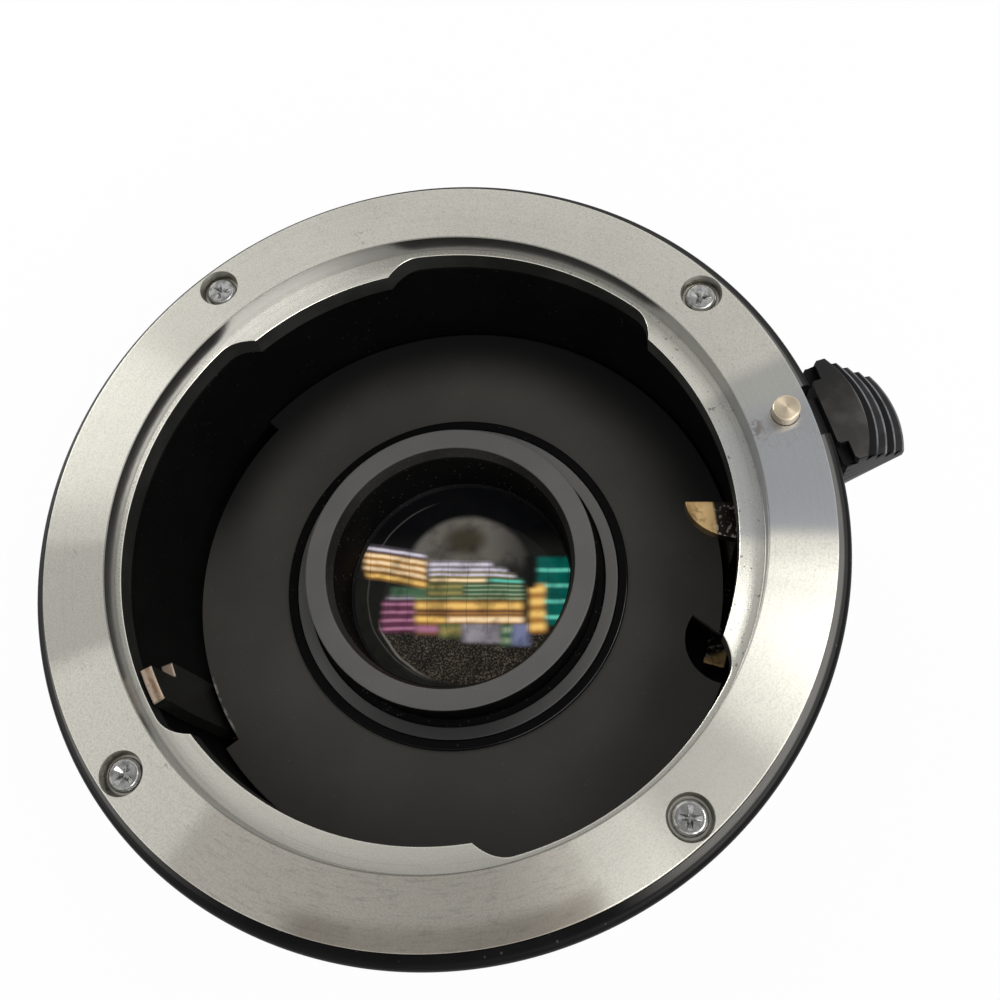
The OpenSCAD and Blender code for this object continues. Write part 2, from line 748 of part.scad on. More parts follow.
module front_spacer() { color("#131314") cell_ring(second_top, front_low); }
module middle_spacer() { color("#131314") cell_ring(third_top, second_low); }
module rear_spacer() { color("#131314") cell_ring(fourth_top, third_low); }
module rear_retaining_ring() { color("#131314") cell_ring(cell_low, rear_low); }

// Inner tube: the sleeve that the control rings turn on, and the plate that is screwed to the body
module inner_tube() {
    bore = cell_r + fit;
    color("#222223")
    difference() {
        rotate_extrude() polygon([
            [bore, floor_z], [sleeve_r, floor_z], [sleeve_r, tube_top], [tube_bore_r - fit, tube_top],
            [tube_bore_r - fit, tube_low], [bore + stub_wall, tube_low],
            [bore + stub_wall, tube_low - stub_l], [bore, tube_low - stub_l]]);
        sector(slot_in, lever_out + free_gap, aperture_slot, tube_low - over, tube_top + over);
        sector(stop_tab_in - free_gap, stop_tab_in + lever_t + free_gap, stop_slot + tab_room,
            tube_low - over, tube_top + over);
        around(tube_screws_n, tube_screw_angle, tube_screw_r)
            translate([0, 0, tube_low - over])
                cylinder(d = tube_thread_d + 4 * fit, h = tube_t + 2 * over);
    }
}

// Three screws that hold the inner tube
module tube_screws() {
    color("#9a9a98")
    around(tube_screws_n, tube_screw_angle, tube_screw_r)
        translate([0, 0, tube_low - tube_head_h]) rotate([180, 0, 0])
            screw(tube_head_d, tube_head_h, tube_thread_d, tube_screw_l);
}

// Keeper and spacer on the sleeve, above and between the control rings
module ring_keeper() {
    color("#2a2a2b") ring(keeper_r, sleeve_r + fit, floor_z - keeper_h, floor_z);
}

module ring_spacer() {
    color("#2a2a2b") ring(keeper_r, sleeve_r + fit, spacer_top - spacer_h, spacer_top);
}

// Control ring with an arm for its levers and an ear for its spring post
module control_ring(low, top, lever, post_a, post_z) {
    ear = asin(post_d / post_r);
    difference() {
        union() {
            ring(ring_r, sleeve_r + running, low, top);
            sector(ring_r - over, lever_in - fit, lever, low, top);
            sector(ring_r - over, post_r + post_d, [post_a - ear, post_a + ear], low, top);
            peg(post_r, post_a, post_d, min(low + over / 2, post_z), max(top - over / 2, post_z));
        }
        rivet_holes(lever, low, top);
    }
}

// Angles of the two rivets that hold a lever
function rivet_angles(lever) = [for (t = rivet_places) lever[0] + (lever[1] - lever[0]) * t];

module rivet_holes(lever, low, top) {
    for (a = rivet_angles(lever))
        peg(rivet_r, a, rivet_d + 2 * fit, low - over, top + over);
}

// Rivets through two feet and the ring between them
module rivets(lever, ring_low, ring_top) {
    for (a = rivet_angles(lever)) {
        peg(rivet_r, a, rivet_d, ring_low - lever_t - rivet_h / 2, ring_top + lever_t + rivet_h / 2);
        peg(rivet_r, a, rivet_head_d, ring_top + lever_t, ring_top + lever_t + rivet_h);
        peg(rivet_r, a, rivet_head_d, ring_low - lever_t - rivet_h, ring_low - lever_t);
    }
}

// Bent strip: a flat foot whose underside is at low, and a wall from the middle of the foot to end
module bent_strip(foot_r, wall_in, foot_a, wall_a, low, end) {
    middle = low + lever_t / 2;
    sector(foot_r[0], foot_r[1], foot_a, low, low + lever_t);
    sector(wall_in, wall_in + lever_t, wall_a, min(middle, end), max(middle, end));
}

// Aperture ring: it carries the lens's aperture setting through to the camera
module aperture_ring() {
    color("#6f6a5c")
    control_ring(aperture_low, aperture_top, aperture_lever, aperture_post, return_z - return_d / 2);
}

module aperture_front_lever() {
    top = face - aperture_shoulder;
    color("#3a3732")
    difference() {
        union() {
            bent_strip([foot_in, lever_out - fit], lever_in, aperture_lever, aperture_lever,
                aperture_top, top);
            sector(lever_in + fit, lever_out - fit, aperture_bar, top - over, face - aperture_bar_depth);
        }
        rivet_holes(aperture_lever, aperture_top, aperture_top + lever_t);
    }
}

module aperture_rear_lever() {
    color("#9d8457")
    difference() {
        bent_strip([foot_in, lever_out - fit], lever_in, aperture_lever,
            aperture_lever + tab_side * [1, -1], aperture_low - lever_t, -aperture_tab);
        rivet_holes(aperture_lever, aperture_low - lever_t, aperture_low);
    }
}

module aperture_rivets() { color("#b79c6a") rivets(aperture_lever, aperture_low, aperture_top); }

// Stop-down ring: it carries the camera's stop-down stroke through to the lens
module stop_down_ring() {
    color("#6f6a5c") control_ring(stop_low, stop_top, stop_foot, stop_post, return_z + return_d / 2);
}

// Horn of the stop-down lever, seen along the axis: a quarter of an ellipse
module horn_shape() {
    steps = 10;
    tip_r = lever_out - horn_l;
    bulge = [for (i = [0 : steps]) [horn_l * (1 - cos(90 * i / steps)), -horn_w * sin(90 * i / steps)]];
    intersection() {
        circle(r = lever_out - fit);
        rotate(stop_lever[1] + horn_turn)
            translate([tip_r, 0])
                rotate(-horn_lean)
                    polygon(concat(bulge, [[2 * horn_l, -horn_w], [2 * horn_l, 0]]));
    }
}

module stop_down_front_lever() {
    top = face - horn_depth;
    color("#c3a468")
    difference() {
        union() {
            bent_strip([foot_in, lever_out - fit], lever_in, stop_foot, stop_lever,
                stop_top, top - horn_t / 2);
            translate([0, 0, top - horn_t]) linear_extrude(height = horn_t) horn_shape();
            sector(lever_out - finger_w, lever_out - 2 * fit, [stop_slot[0], stop_foot[0] + finger_lap],
                stop_top + fit, stop_top + lever_t - fit);
        }
        rivet_holes(stop_foot, stop_top, stop_top + lever_t);
    }
}

module stop_down_rear_lever() {
    color("#9d8457")
    difference() {
        bent_strip([stop_tab_in + fit, lever_in], stop_tab_in, stop_foot, stop_lever,
            stop_low - lever_t, stop_tab_inset - spigot_l);
        rivet_holes(stop_foot, stop_low - lever_t, stop_low);
    }
}

module stop_down_rivets() { color("#b79c6a") rivets(stop_foot, stop_low, stop_top); }

// Posts on the inner tube that hold the far ends of the return springs
module spring_posts() {
    color("#9a9a98")
    for (a = [aperture_post + return_arc, stop_post + return_arc])
        peg(post_r, a, post_d, tube_top, return_z + return_d / 2);
}

// Return spring on an arc, from the post on a ring to the post on the tube
module return_spring(post_a) {
    hold = asin((post_d / 2 + wire_r + 2 * fit) / post_r);
    ends = [post_a + hold, post_a + return_arc - hold];
    coil_r = return_d / 2 - wire_r;
    steps = curl_rings * return_turns;
    path = [for (i = [0 : steps])
        arc_point(i / steps, return_turns, coil_r, post_r, ends, return_z)];
    echo(return_spring_least_gap = least_gap(path, curl_rings - 2) - wire_d);
    color("#a8a8a6") wire(path, wire_r);
}

module aperture_spring() { return_spring(aperture_post); }
module stop_down_spring() { return_spring(stop_post); }

// Black mask with an oblong window on the rear mount's plate
module rear_mask() {
    color("#141415")
    difference() {
        translate([0, 0, rear_t]) cylinder(r = slot_in - free_gap, h = mask_t);
        block([-mask_w / 2, -mask_h / 2, rear_t - over], [mask_w / 2, mask_h / 2, rear_t + mask_t + over]);
        sector(stop_tab_in - free_gap, stop_tab_in + lever_t + free_gap, stop_slot + tab_room,
            rear_t - over, rear_t + mask_t + over);
    }
}

// Chromed rear bayonet: mounting plate, centring step, spigot and lugs
module rear_mount() {
    lug_r = cavity_r - rear_lug_play;
    color("#c9c9c6")
    difference() {
        union() {
            rotate_extrude() polygon([
                [spigot_in, -spigot_l], [spigot_r - bevel, -spigot_l], [spigot_r, bevel - spigot_l],
                [spigot_r, -rear_register_h], [rear_register_r - bevel / 2, -rear_register_h],
                [rear_register_r, bevel / 2 - rear_register_h], [rear_register_r, 0],
                [flange_r - bevel, 0], [flange_r, bevel], [flange_r, rear_t], [spigot_in, rear_t]]);
            for (lug = lugs)
                sector(spigot_r - bevel, lug_r, lug + [rear_lug_short, -rear_lug_short],
                    -rear_lug_drop - rear_lug_t, -rear_lug_drop);
        }
        sector((spigot_r + lever_in) / 2, lever_out + run_gap, aperture_slot,
            -rear_register_h - over, rear_t + over);
        peg(lock_r, 0, lock_hole_d, -over, lock_hole_h);
        around(screws_n, rear_screw_angle, screw_r) {
            translate([0, 0, -over]) cylinder(d = head_d + 4 * fit, h = pocket_h + over);
            cylinder(d = thread_d + 4 * fit, h = rear_t + over);
        }
    }
}

// Four cross-head screws in the rear mount
module rear_screws() {
    color("#b9b9b6")
    around(screws_n, rear_screw_angle, screw_r)
        translate([0, 0, pocket_h - head_h]) rotate([180, 0, 0]) screw(head_d, head_h, thread_d, screw_l);
}

body_shell();
front_flange();
front_screws();
lug_springs();
lock_pin();
lock_spring();
release_link();
release_slide();
floor_baffle();
gloss_ring();
lens_cell();
front_retaining_ring();
front_element();
front_spacer();
second_element();
middle_spacer();
third_element();
rear_spacer();
fourth_element();
rear_element();
rear_retaining_ring();
inner_tube();
tube_screws();
ring_keeper();
aperture_ring();
aperture_front_lever();
aperture_rear_lever();
aperture_rivets();
ring_spacer();
stop_down_ring();
stop_down_front_lever();
stop_down_rear_lever();
stop_down_rivets();
spring_posts();
aperture_spring();
stop_down_spring();
rear_mask();
rear_mount();
rear_screws();
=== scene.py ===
"""Looks of a two-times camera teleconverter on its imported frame.

Lengths are in metres in the frame of the part: the origin is the centre of the rear mounting face,
+Z runs to the lens, and +X runs through the lock pin and the release slide.
"""

import json

import bmesh
import bpy
import numpy as np
from bpy.props import FloatProperty, FloatVectorProperty, PointerProperty
from mathutils import Matrix, Vector

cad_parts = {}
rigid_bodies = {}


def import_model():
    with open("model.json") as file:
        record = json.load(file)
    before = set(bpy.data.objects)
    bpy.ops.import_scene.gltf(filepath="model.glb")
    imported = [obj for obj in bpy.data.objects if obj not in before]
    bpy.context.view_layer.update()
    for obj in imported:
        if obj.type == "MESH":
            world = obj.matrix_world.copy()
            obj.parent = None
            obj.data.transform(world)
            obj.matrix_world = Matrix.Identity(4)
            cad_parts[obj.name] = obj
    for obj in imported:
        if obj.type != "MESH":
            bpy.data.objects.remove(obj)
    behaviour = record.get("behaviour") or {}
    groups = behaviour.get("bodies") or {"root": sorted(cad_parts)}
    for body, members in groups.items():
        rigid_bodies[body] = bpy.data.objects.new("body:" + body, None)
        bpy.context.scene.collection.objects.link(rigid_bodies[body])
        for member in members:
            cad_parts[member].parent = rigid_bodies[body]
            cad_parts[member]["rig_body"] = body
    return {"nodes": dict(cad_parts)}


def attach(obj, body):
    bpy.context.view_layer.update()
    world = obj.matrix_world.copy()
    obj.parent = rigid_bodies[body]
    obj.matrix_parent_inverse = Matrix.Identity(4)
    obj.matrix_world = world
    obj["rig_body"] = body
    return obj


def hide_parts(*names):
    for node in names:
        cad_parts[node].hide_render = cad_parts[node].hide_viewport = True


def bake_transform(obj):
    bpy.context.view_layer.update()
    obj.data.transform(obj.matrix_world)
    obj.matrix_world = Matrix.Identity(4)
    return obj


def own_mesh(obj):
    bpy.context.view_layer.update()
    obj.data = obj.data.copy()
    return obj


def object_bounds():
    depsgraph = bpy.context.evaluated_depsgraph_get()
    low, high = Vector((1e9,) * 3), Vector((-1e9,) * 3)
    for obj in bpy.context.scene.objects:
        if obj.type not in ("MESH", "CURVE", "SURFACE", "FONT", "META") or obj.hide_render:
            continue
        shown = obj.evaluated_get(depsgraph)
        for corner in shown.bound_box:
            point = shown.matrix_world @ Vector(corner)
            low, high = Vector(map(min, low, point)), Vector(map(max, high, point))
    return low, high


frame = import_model()
CAD_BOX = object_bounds()

bl_info = {
    "name": "Teleconverter looks",
    "version": (1, 0, 0),
    "blender": (4, 5, 0),
    "location": "3D View > Sidebar > Teleconverter",
    "description": "Builds the visible pieces, finishes and stage of a camera teleconverter",
    "category": "Object",
}

MM = 0.001
# First and last angle of the three lugs, in degrees
LUGS = np.array([[-38.0, 26.5], [85.0, 116.0], [205.5, 263.0]])
FRONT_SCREW_ANGLES = 24.8 + 90.0 * np.arange(4)
REAR_SCREW_ANGLES = 45.0 + 90.0 * np.arange(4)
# Slots of the two levers, in degrees
APERTURE_SLOT = (123.0, 201.0)
STOP_DOWN_SLOT = (327.0, 354.0)
# Depth of the front ring below its face
FLANGE_DEPTH = 4 * MM
# Inner radius of the floor's two slots
SLOT_EDGE = 23.8 * MM
# Distance of the lock pin from the axis
PIN_CIRCLE = 29 * MM
# How far the screws' heads lie below their face
HEAD_SINK = 0.42 * MM
# Inner edge of the slide, reach of its front plate and radius of its outer arc, in millimetres
SLIDE_EDGE, SLIDE_REACH, SLIDE_ARC = 32.6, 3.0, 9.0
# Radius of the springs' wire
SPRING_WIRE = 0.16 * MM
# Turning that stretches the sheen of lathe work across its rings
ACROSS_RINGS = 0.25


def length(name, description, millimetres):
    """Property of a length that is given in millimetres."""
    return FloatProperty(name=name, description=description, default=millimetres * MM, precision=5,
                         unit="LENGTH", subtype="DISTANCE")


def colour(name, description, rgb):
    """Property of a colour in linear light."""
    return FloatVectorProperty(name=name, description=description, default=rgb, size=3, min=0, max=1,
                               subtype="COLOR")


def amount(name, description, default):
    """Property of a plain number from nought upwards."""
    return FloatProperty(name=name, description=description, default=default, min=0, subtype="FACTOR")


class StageSettings(bpy.types.PropertyGroup):
    """Floor, backdrop, lamps and camera"""

    lens: FloatProperty(name="Lens", description="Focal length of the camera", default=38.56, unit="CAMERA")
    floor: colour("Floor", "Colour of the pale floor", (0.8, 0.8, 0.8))
    ceiling: colour("Ceiling", "Light that comes from overhead", (0.12, 0.12, 0.12))
    walls: colour("Walls", "Light that comes from the sides", (0.85, 0.85, 0.85))
    left_light: amount("Left light", "Power of the lamp at the back left, in watts", 0.68)
    right_light: amount("Right light", "Power of the lamp at the right, in watts", 0.2)
    front_light: amount("Front light", "Power of the lamp at the front right, in watts", 0.72)


class MountSettings(bpy.types.PropertyGroup):
    """Chromed front ring"""

    face: length("Face", "Height of the mounting face", 38)
    outer: length("Outer radius", "Radius of the mounting face", 31)
    step: length("Step radius", "Radius of the round step that centres the lens", 25.95)
    ledge: length("Ledge", "Height of the lugs' front face", 36)
    throat: length("Throat radius", "Radius inside the lugs", 24)
    cavity: length("Cavity radius", "Radius behind the lugs", 25.5)
    screw_circle: length("Screw circle", "Radius of the circle of screws", 29.2)
    chrome: colour("Chrome", "Colour of the satin chrome", (0.83, 0.81, 0.72))
    steel: colour("Screw steel", "Colour of the screws", (0.5, 0.5, 0.49))


class BodySettings(bpy.types.PropertyGroup):
    """Black outer body"""

    outer: length("Outer radius", "Radius of the body", 32.2)
    lip: length("Lip", "Height of the front lip", 37)
    groove: length("Groove", "Depth of the grip grooves", 0.5)
    black: colour("Enamel", "Colour of the body's enamel", (0.003, 0.003, 0.0033))
    rim: colour("Rim", "Colour of the rubbed flat of the lip", (0.19, 0.186, 0.178))
    lining: colour("Lining", "Colour of the dead black inside", (0.002, 0.002, 0.002))


class LockSettings(bpy.types.PropertyGroup):
    """Lock pin and release slide"""

    pin: length("Pin radius", "Radius of the pin", 1.05)
    top: length("Pin top", "Height of the pin's end", 39.1)
    brass: colour("Pin brass", "Colour of the pin", (0.72, 0.61, 0.45))
    slide_top: length("Slide top", "Height of the slide's front plate", 35.8)
    rib_out: length("Rib step", "How far each rib stands out beyond the one before", 0.95)
    rib_height: length("Rib height", "Height of a rib", 1)
    slide: colour("Slide black", "Colour of the slide", (0.009, 0.009, 0.0095))


class CavitySettings(bpy.types.PropertyGroup):
    """Floor and lens cell"""

    floor: length("Floor", "Height of the floor", 22.6)
    rim: length("Rim", "Height of the cell's rim", 27.1)
    cell: length("Cell radius", "Outer radius of the cell", 12.8)
    rim_inner: length("Rim opening", "Radius inside the rim", 11)
    bore: length("Bore", "Radius of the bore that holds the glass", 10.5)
    collar: length("Collar radius", "Radius of the collar on the floor", 14.6)
    floor_black: colour("Floor black", "Colour of the satin floor", (0.039, 0.037, 0.032))
    cell_grey: colour("Cell grey", "Colour of the anodised cell", (0.075, 0.073, 0.07))
    gloss_black: colour("Gloss black", "Colour of the ring at the cell's foot", (0.0015, 0.0015, 0.0017))


class LeverSettings(bpy.types.PropertyGroup):
    """Levers that pass the settings through"""

    inner: length("Inner radius", "Radius of the levers' inner face", 24.35)
    outer: length("Outer radius", "Radius of the levers' outer face", 25.32)
    shoulder: length("Shoulder", "Height of the aperture lever's shoulder", 30.5)
    bar: length("Bar", "Height of the aperture lever's bar", 35.6)
    horn: length("Horn", "Height of the stop-down horn", 31.5)
    brass: colour("Brass", "Colour of the bare brass", (0.84, 0.58, 0.28))
    pale_mark: colour("Worn brass", "Colour of brass that shows through the black", (0.78, 0.62, 0.48))
    blackened: colour("Blackened", "Colour of the blackened brass", (0.009, 0.0088, 0.008))


class RearSettings(bpy.types.PropertyGroup):
    """Chromed rear bayonet"""

    outer: length("Outer radius", "Radius of the rear mounting face", 31)
    step: length("Step radius", "Radius of the rear centring step", 25.85)
    spigot: length("Spigot radius", "Outer radius of the spigot", 23.85)
    inner: length("Throat radius", "Inner radius of the spigot", 22.5)
    lug: length("Lug radius", "Radius of the rear lugs", 25.3)
    end: length("Length", "Length of the spigot", 6)


class TeleconverterSettings(bpy.types.PropertyGroup):
    """All sizes and colours"""

    stage: PointerProperty(type=StageSettings)
    mount: PointerProperty(type=MountSettings)
    body: PointerProperty(type=BodySettings)
    lock: PointerProperty(type=LockSettings)
    cavity: PointerProperty(type=CavitySettings)
    lever: PointerProperty(type=LeverSettings)
    rear: PointerProperty(type=RearSettings)


# Shapes: each is a pair of arrays, the points and the four-sided faces


def around(count):
    """Equal steps of an angle once round, in radians."""
    return np.linspace(0, 2 * np.pi, count, endpoint=False)


def swung(sections, angles):
    """Points of sections of radius r and height h at their angles: x = r cos a, y = r sin a, z = h."""
    r = sections[..., 0]
    a = np.asarray(angles)[:, None]
    return np.stack([r * np.cos(a), r * np.sin(a), sections[..., 1]], axis=-1)


def raised(flat, heights):
    """Points of flat outlines at their heights."""
    z = np.broadcast_to(np.asarray(heights, float)[:, None, None], flat.shape[:2] + (1,))
    return np.concatenate([flat, z], axis=-1)


def grid_faces(rows, columns, closed):
    """Faces of a grid of points that is numbered row by row: each joins a point to its neighbours in the
    next column and row. The last column is joined to the first, and the last row too if closed."""
    row = np.arange(rows if closed else rows - 1)[:, None]
    column = np.arange(columns)[None, :]
    next_row = (row + 1) % rows
    next_column = (column + 1) % columns
    corners = (row * columns + column, next_row * columns + column, next_row * columns + next_column,
               row * columns + next_column)
    return np.stack(np.broadcast_arrays(*corners), axis=-1).reshape(-1, 4)


def soften(outline, radius, steps=4):
    """Rounds the corners of a closed outline. Each corner becomes a quadratic curve
    (1 - t)^2 p + 2 t (1 - t) c + t^2 q between points p and q on its two sides, and one more point on
    each side keeps the flats flat."""
    corner = np.asarray(outline, float)
    before = np.roll(corner, 1, axis=0) - corner
    after = np.roll(corner, -1, axis=0) - corner
    back = np.linalg.norm(before, axis=1, keepdims=True)
    ahead = np.linalg.norm(after, axis=1, keepdims=True)
    wanted = np.broadcast_to(radius, len(corner))[:, None]
    largest_share, flat = 0.36, 1.25
    reach = np.minimum(wanted, largest_share * np.minimum(back, ahead))
    p = (reach * before / back)[:, None]
    q = (reach * after / ahead)[:, None]
    t = np.linspace(0, 1, steps)[None, :, None]
    rounded = np.concatenate([flat * p, (1 - t) ** 2 * p + t ** 2 * q, flat * q], axis=1)
    return (corner[:, None] + rounded).reshape(-1, corner.shape[1])


def turned(outline, angles=around(240)):
    """Carries a closed outline of radius and height once round the axis, as swung does. The outline may
    differ from angle to angle, as an array with one outline for each."""
    outline = np.asarray(outline, float)
    sections = np.broadcast_to(outline, (len(angles),) + outline.shape[-2:])
    return swung(sections, angles).reshape(-1, 3), grid_faces(len(angles), outline.shape[-2], True)


def lofted(loops):
    """Skin over a stack of loops with as many points each: point j of loop i is joined to point j of loop
    i + 1, and each end is closed by a row that is drawn together at the loop's middle."""
    loops = np.asarray(loops, float)
    first = np.broadcast_to(loops[:1].mean(axis=1, keepdims=True), loops[:1].shape)
    last = np.broadcast_to(loops[-1:].mean(axis=1, keepdims=True), loops[-1:].shape)
    stack = np.concatenate([first, loops, last])
    return stack.reshape(-1, 3), grid_faces(*stack.shape[:2], False)


def arc_bar(section, first, last, edge=0.0, steps=40):
    """Carries a closed section of radius and height along an arc between two angles in degrees. Near both
    ends the section shrinks about its middle by edge (1 - cos p) while it runs on by edge sin p, which
    rounds the ends."""
    section = np.asarray(section, float)
    middle = (section.max(axis=0) + section.min(axis=0)) / 2
    half = (section.max(axis=0) - section.min(axis=0)) / 2
    turn = np.linspace(0, np.pi / 2, 5)
    run = np.degrees(edge * (1 - np.sin(turn)) / middle[0])
    shrink = edge * (1 - np.cos(turn))
    inside = np.linspace(0, 1, steps)
    angles = np.concatenate([(first + run)[::-1], first + run[0] + (last - first - 2 * run[0]) * inside,
                             last - run])
    inset = np.concatenate([shrink[::-1], np.zeros(steps), shrink])
    scale = 1 - inset[:, None, None] / half
    return lofted(swung(middle + (section - middle) * scale, np.radians(angles)))


def coil(path, radius):
    """Round wire along a path: round each point stands a ring of points p + radius (u cos a + v sin a), where
    u and v are unit vectors across the path's direction d: u along d x w for a fixed w, and v = d x u."""
    along = np.gradient(path, axis=0)
    along = along / np.linalg.norm(along, axis=1, keepdims=True)
    fixed = [0.31, 0.17, 0.94]
    u = np.cross(along, fixed)
    u = u / np.linalg.norm(u, axis=1, keepdims=True)
    v = np.cross(along, u)
    a = around(12)[None, :, None]
    return lofted(path[:, None] + radius * (np.cos(a) * u[:, None] + np.sin(a) * v[:, None]))


def prism(outline, heights, insets):
    """Stacks a flat outline at several heights, each time drawn in towards its middle by an inset."""
    outline = np.asarray(outline, float)
    middle = outline.mean(axis=0)
    half = (outline.max(axis=0) - outline.min(axis=0)) / 2
    scale = 1 - np.asarray(insets, float)[:, None, None] / half
    return lofted(raised(middle + (outline - middle) * scale, heights))


def box_shape(low, high):
    """Box between two corners in millimetres, as a prism over its lower side."""
    (x0, y0, z0), (x1, y1, z1) = np.array([low, high]) * MM
    return prism([[x0, y0], [x1, y0], [x1, y1], [x0, y1]], [z0, z1], [0, 0])


def moved(shape, offset, turn=0.0):
    """Turns a shape about the vertical by an angle in degrees, then moves it."""
    c, s = np.cos(np.radians(turn)), np.sin(np.radians(turn))
    spin = np.array([[c, s, 0], [-s, c, 0], [0, 0, 1]])
    return shape[0] @ spin + np.asarray(offset, float), shape[1]


def joined(shapes):
    """Puts several shapes into one pair of arrays."""
    counts = np.cumsum([0] + [len(points) for points, _ in shapes[:-1]])
    points = np.concatenate([points for points, _ in shapes])
    faces = np.concatenate([faces + count for (_, faces), count in zip(shapes, counts)])
    return points, faces


def round_stack(x, y, radii, heights):
    """Upright stack of circles about a point, each with its own radius and height."""
    a = around(64)
    ring = np.stack([np.cos(a), np.sin(a)], axis=-1)
    flat = ring[None] * np.asarray(radii, float)[:, None, None] + np.array([x, y])
    return lofted(raised(flat, heights))


def round_bar(x, y, radius, low, high):
    """Upright round bar."""
    return round_stack(x, y, [radius, radius], [low, high])


def upright(inner, outer, low, top):
    """Section of radius and height: a rectangle with eased edges."""
    return soften([[inner, low], [outer, low], [outer, top], [inner, top]], 0.1 * MM)


def on_circle(radius, angle):
    """Point at an angle in degrees on a circle about the axis."""
    return np.array([radius * np.cos(np.radians(angle)), radius * np.sin(np.radians(angle)), 0.0])


# Pieces


def mesh_of(name, shape):
    """Mesh of a shape, with its doubled points merged and its faces turned outwards."""
    mesh = bpy.data.meshes.new(name)
    mesh.from_pydata(shape[0].tolist(), [], shape[1].tolist())
    same = 1e-7
    work = bmesh.new()
    work.from_mesh(mesh)
    bmesh.ops.remove_doubles(work, verts=work.verts, dist=same)
    bmesh.ops.dissolve_degenerate(work, dist=same, edges=work.edges)
    bmesh.ops.recalc_face_normals(work, faces=work.faces)
    work.to_mesh(mesh)
    work.free()
    return mesh


def put(name, mesh):
    """New object in the scene for a mesh."""
    made = bpy.data.objects.new(name, mesh)
    bpy.context.scene.collection.objects.link(made)
    return made


def cut_from(mesh, shapes):
    """The mesh without the space that each of the shapes takes."""
    base = put("base", mesh)
    tools = [put("tool", mesh_of("tool", shape)) for shape in shapes]
    for tool in tools:
        cut = base.modifiers.new("cut", "BOOLEAN")
        cut.operation = "DIFFERENCE"
        cut.solver = "MANIFOLD"
        cut.object = tool
    result = bpy.data.meshes.new_from_object(base.evaluated_get(bpy.context.evaluated_depsgraph_get()))
    for used in (base, *tools):
        bpy.data.objects.remove(used)
    if not result.polygons:
        raise RuntimeError("a cut left nothing of " + mesh.name)
    return result


def stand_in(name, shape, finish, nodes, cuts=(), sharp=28):
    """Makes a piece that stands for CAD nodes."""
    mesh = mesh_of(name, shape)
    if cuts:
        mesh = cut_from(mesh, list(cuts))
    mesh.name = name
    mesh.polygons.foreach_set("use_smooth", np.ones(len(mesh.polygons), bool))
    mesh.set_sharp_from_angle(angle=np.radians(sharp))
    mesh.materials.clear()
    mesh.materials.append(finish)
    made = put(name, mesh)
    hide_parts(*nodes)
    return made


def piece(name, shape, finish, nodes, cuts=(), sharp=28):
    """Makes a piece that stands for CAD nodes and rides on their body."""
    made = stand_in(name, shape, finish, nodes, cuts, sharp)
    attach(made, frame["nodes"][nodes[0]]["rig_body"])
    return made


def refinish(made, *choices):
    """Gives faces of a piece a further finish where a test of their middles' x, y and z holds."""
    faces = made.data.polygons
    middles = np.empty(3 * len(faces))
    faces.foreach_get("center", middles)
    x, y, z = middles.reshape(-1, 3).T
    index = np.zeros(len(faces), np.int32)
    for finish, test in choices:
        made.data.materials.append(finish)
        index[test(x, y, z)] = len(made.data.materials) - 1
    faces.foreach_set("material_index", index)


def dress(finish, *names):
    """Gives CAD nodes that keep their own mesh a finish."""
    for name in names:
        mesh = frame["nodes"][name].data
        mesh.materials.clear()
        mesh.materials.append(finish)


# Finishes


class Value:
    """A shader socket in an expression: its operators add Math nodes to its tree."""

    def __init__(self, owner, socket):
        self.owner = owner
        self.socket = socket

    def math(self, operation, first, second=0.0):
        """Math node on two numbers or sockets."""
        return self.owner.node("Math", {"operation": operation}, {0: first, 1: second})

    def __add__(self, other):
        return self.math("ADD", self, other)

    def __sub__(self, other):
        return self.math("SUBTRACT", self, other)

    def __rsub__(self, other):
        return self.math("SUBTRACT", other, self)

    def __mul__(self, other):
        return self.math("MULTIPLY", self, other)

    def __truediv__(self, other):
        return self.math("DIVIDE", self, other)

    def __rtruediv__(self, other):
        return self.math("DIVIDE", other, self)

    def __pow__(self, other):
        return self.math("POWER", self, other)

    def __abs__(self):
        return self.math("ABSOLUTE", self)

    __radd__ = __add__
    __rmul__ = __mul__

    def part(self):
        """What is left above the whole number below."""
        return self.math("FRACT", self)

    def rise(self, low, high):
        """Smooth step from 0 at low to 1 at high."""
        settings = {"interpolation_type": "SMOOTHSTEP", "clamp": True}
        return self.owner.node("MapRange", settings, {"Value": self, "From Min": low, "From Max": high})

    def fall(self, low, high):
        """Smooth step from 1 at low to 0 at high."""
        return 1 - self.rise(low, high)

    def band(self, low, high, soft):
        """1 between two values, with soft edges."""
        return self.rise(low - soft, low + soft) * self.fall(high - soft, high + soft)


class Shading:
    """A node tree in the making."""

    def __init__(self, tree):
        self.tree = tree

    def node(self, kind, settings, sockets, output=0):
        """Any node: its settings first, then the values or links of its sockets."""
        made = self.tree.nodes.new("ShaderNode" + kind)
        for key, value in settings.items():
            setattr(made, key, value)
        for key, value in sockets.items():
            self.feed(made.inputs[key], value)
        return Value(self, made.outputs[output])

    def feed(self, socket, value):
        """Links or sets one socket."""
        if isinstance(value, Value):
            self.tree.links.new(value.socket, socket)
        elif socket.type == "RGBA" and len(value) == 3:
            socket.default_value = (*value, 1.0)
        else:
            socket.default_value = value

    def beside(self, value, output):
        """Another output of the node that a value comes from."""
        return Value(self, value.socket.node.outputs[output])

    def mix(self, factor, first, second):
        """Mix of two colours."""
        return self.node("Mix", {"data_type": "RGBA"}, {0: factor, 6: first, 7: second}, 2)


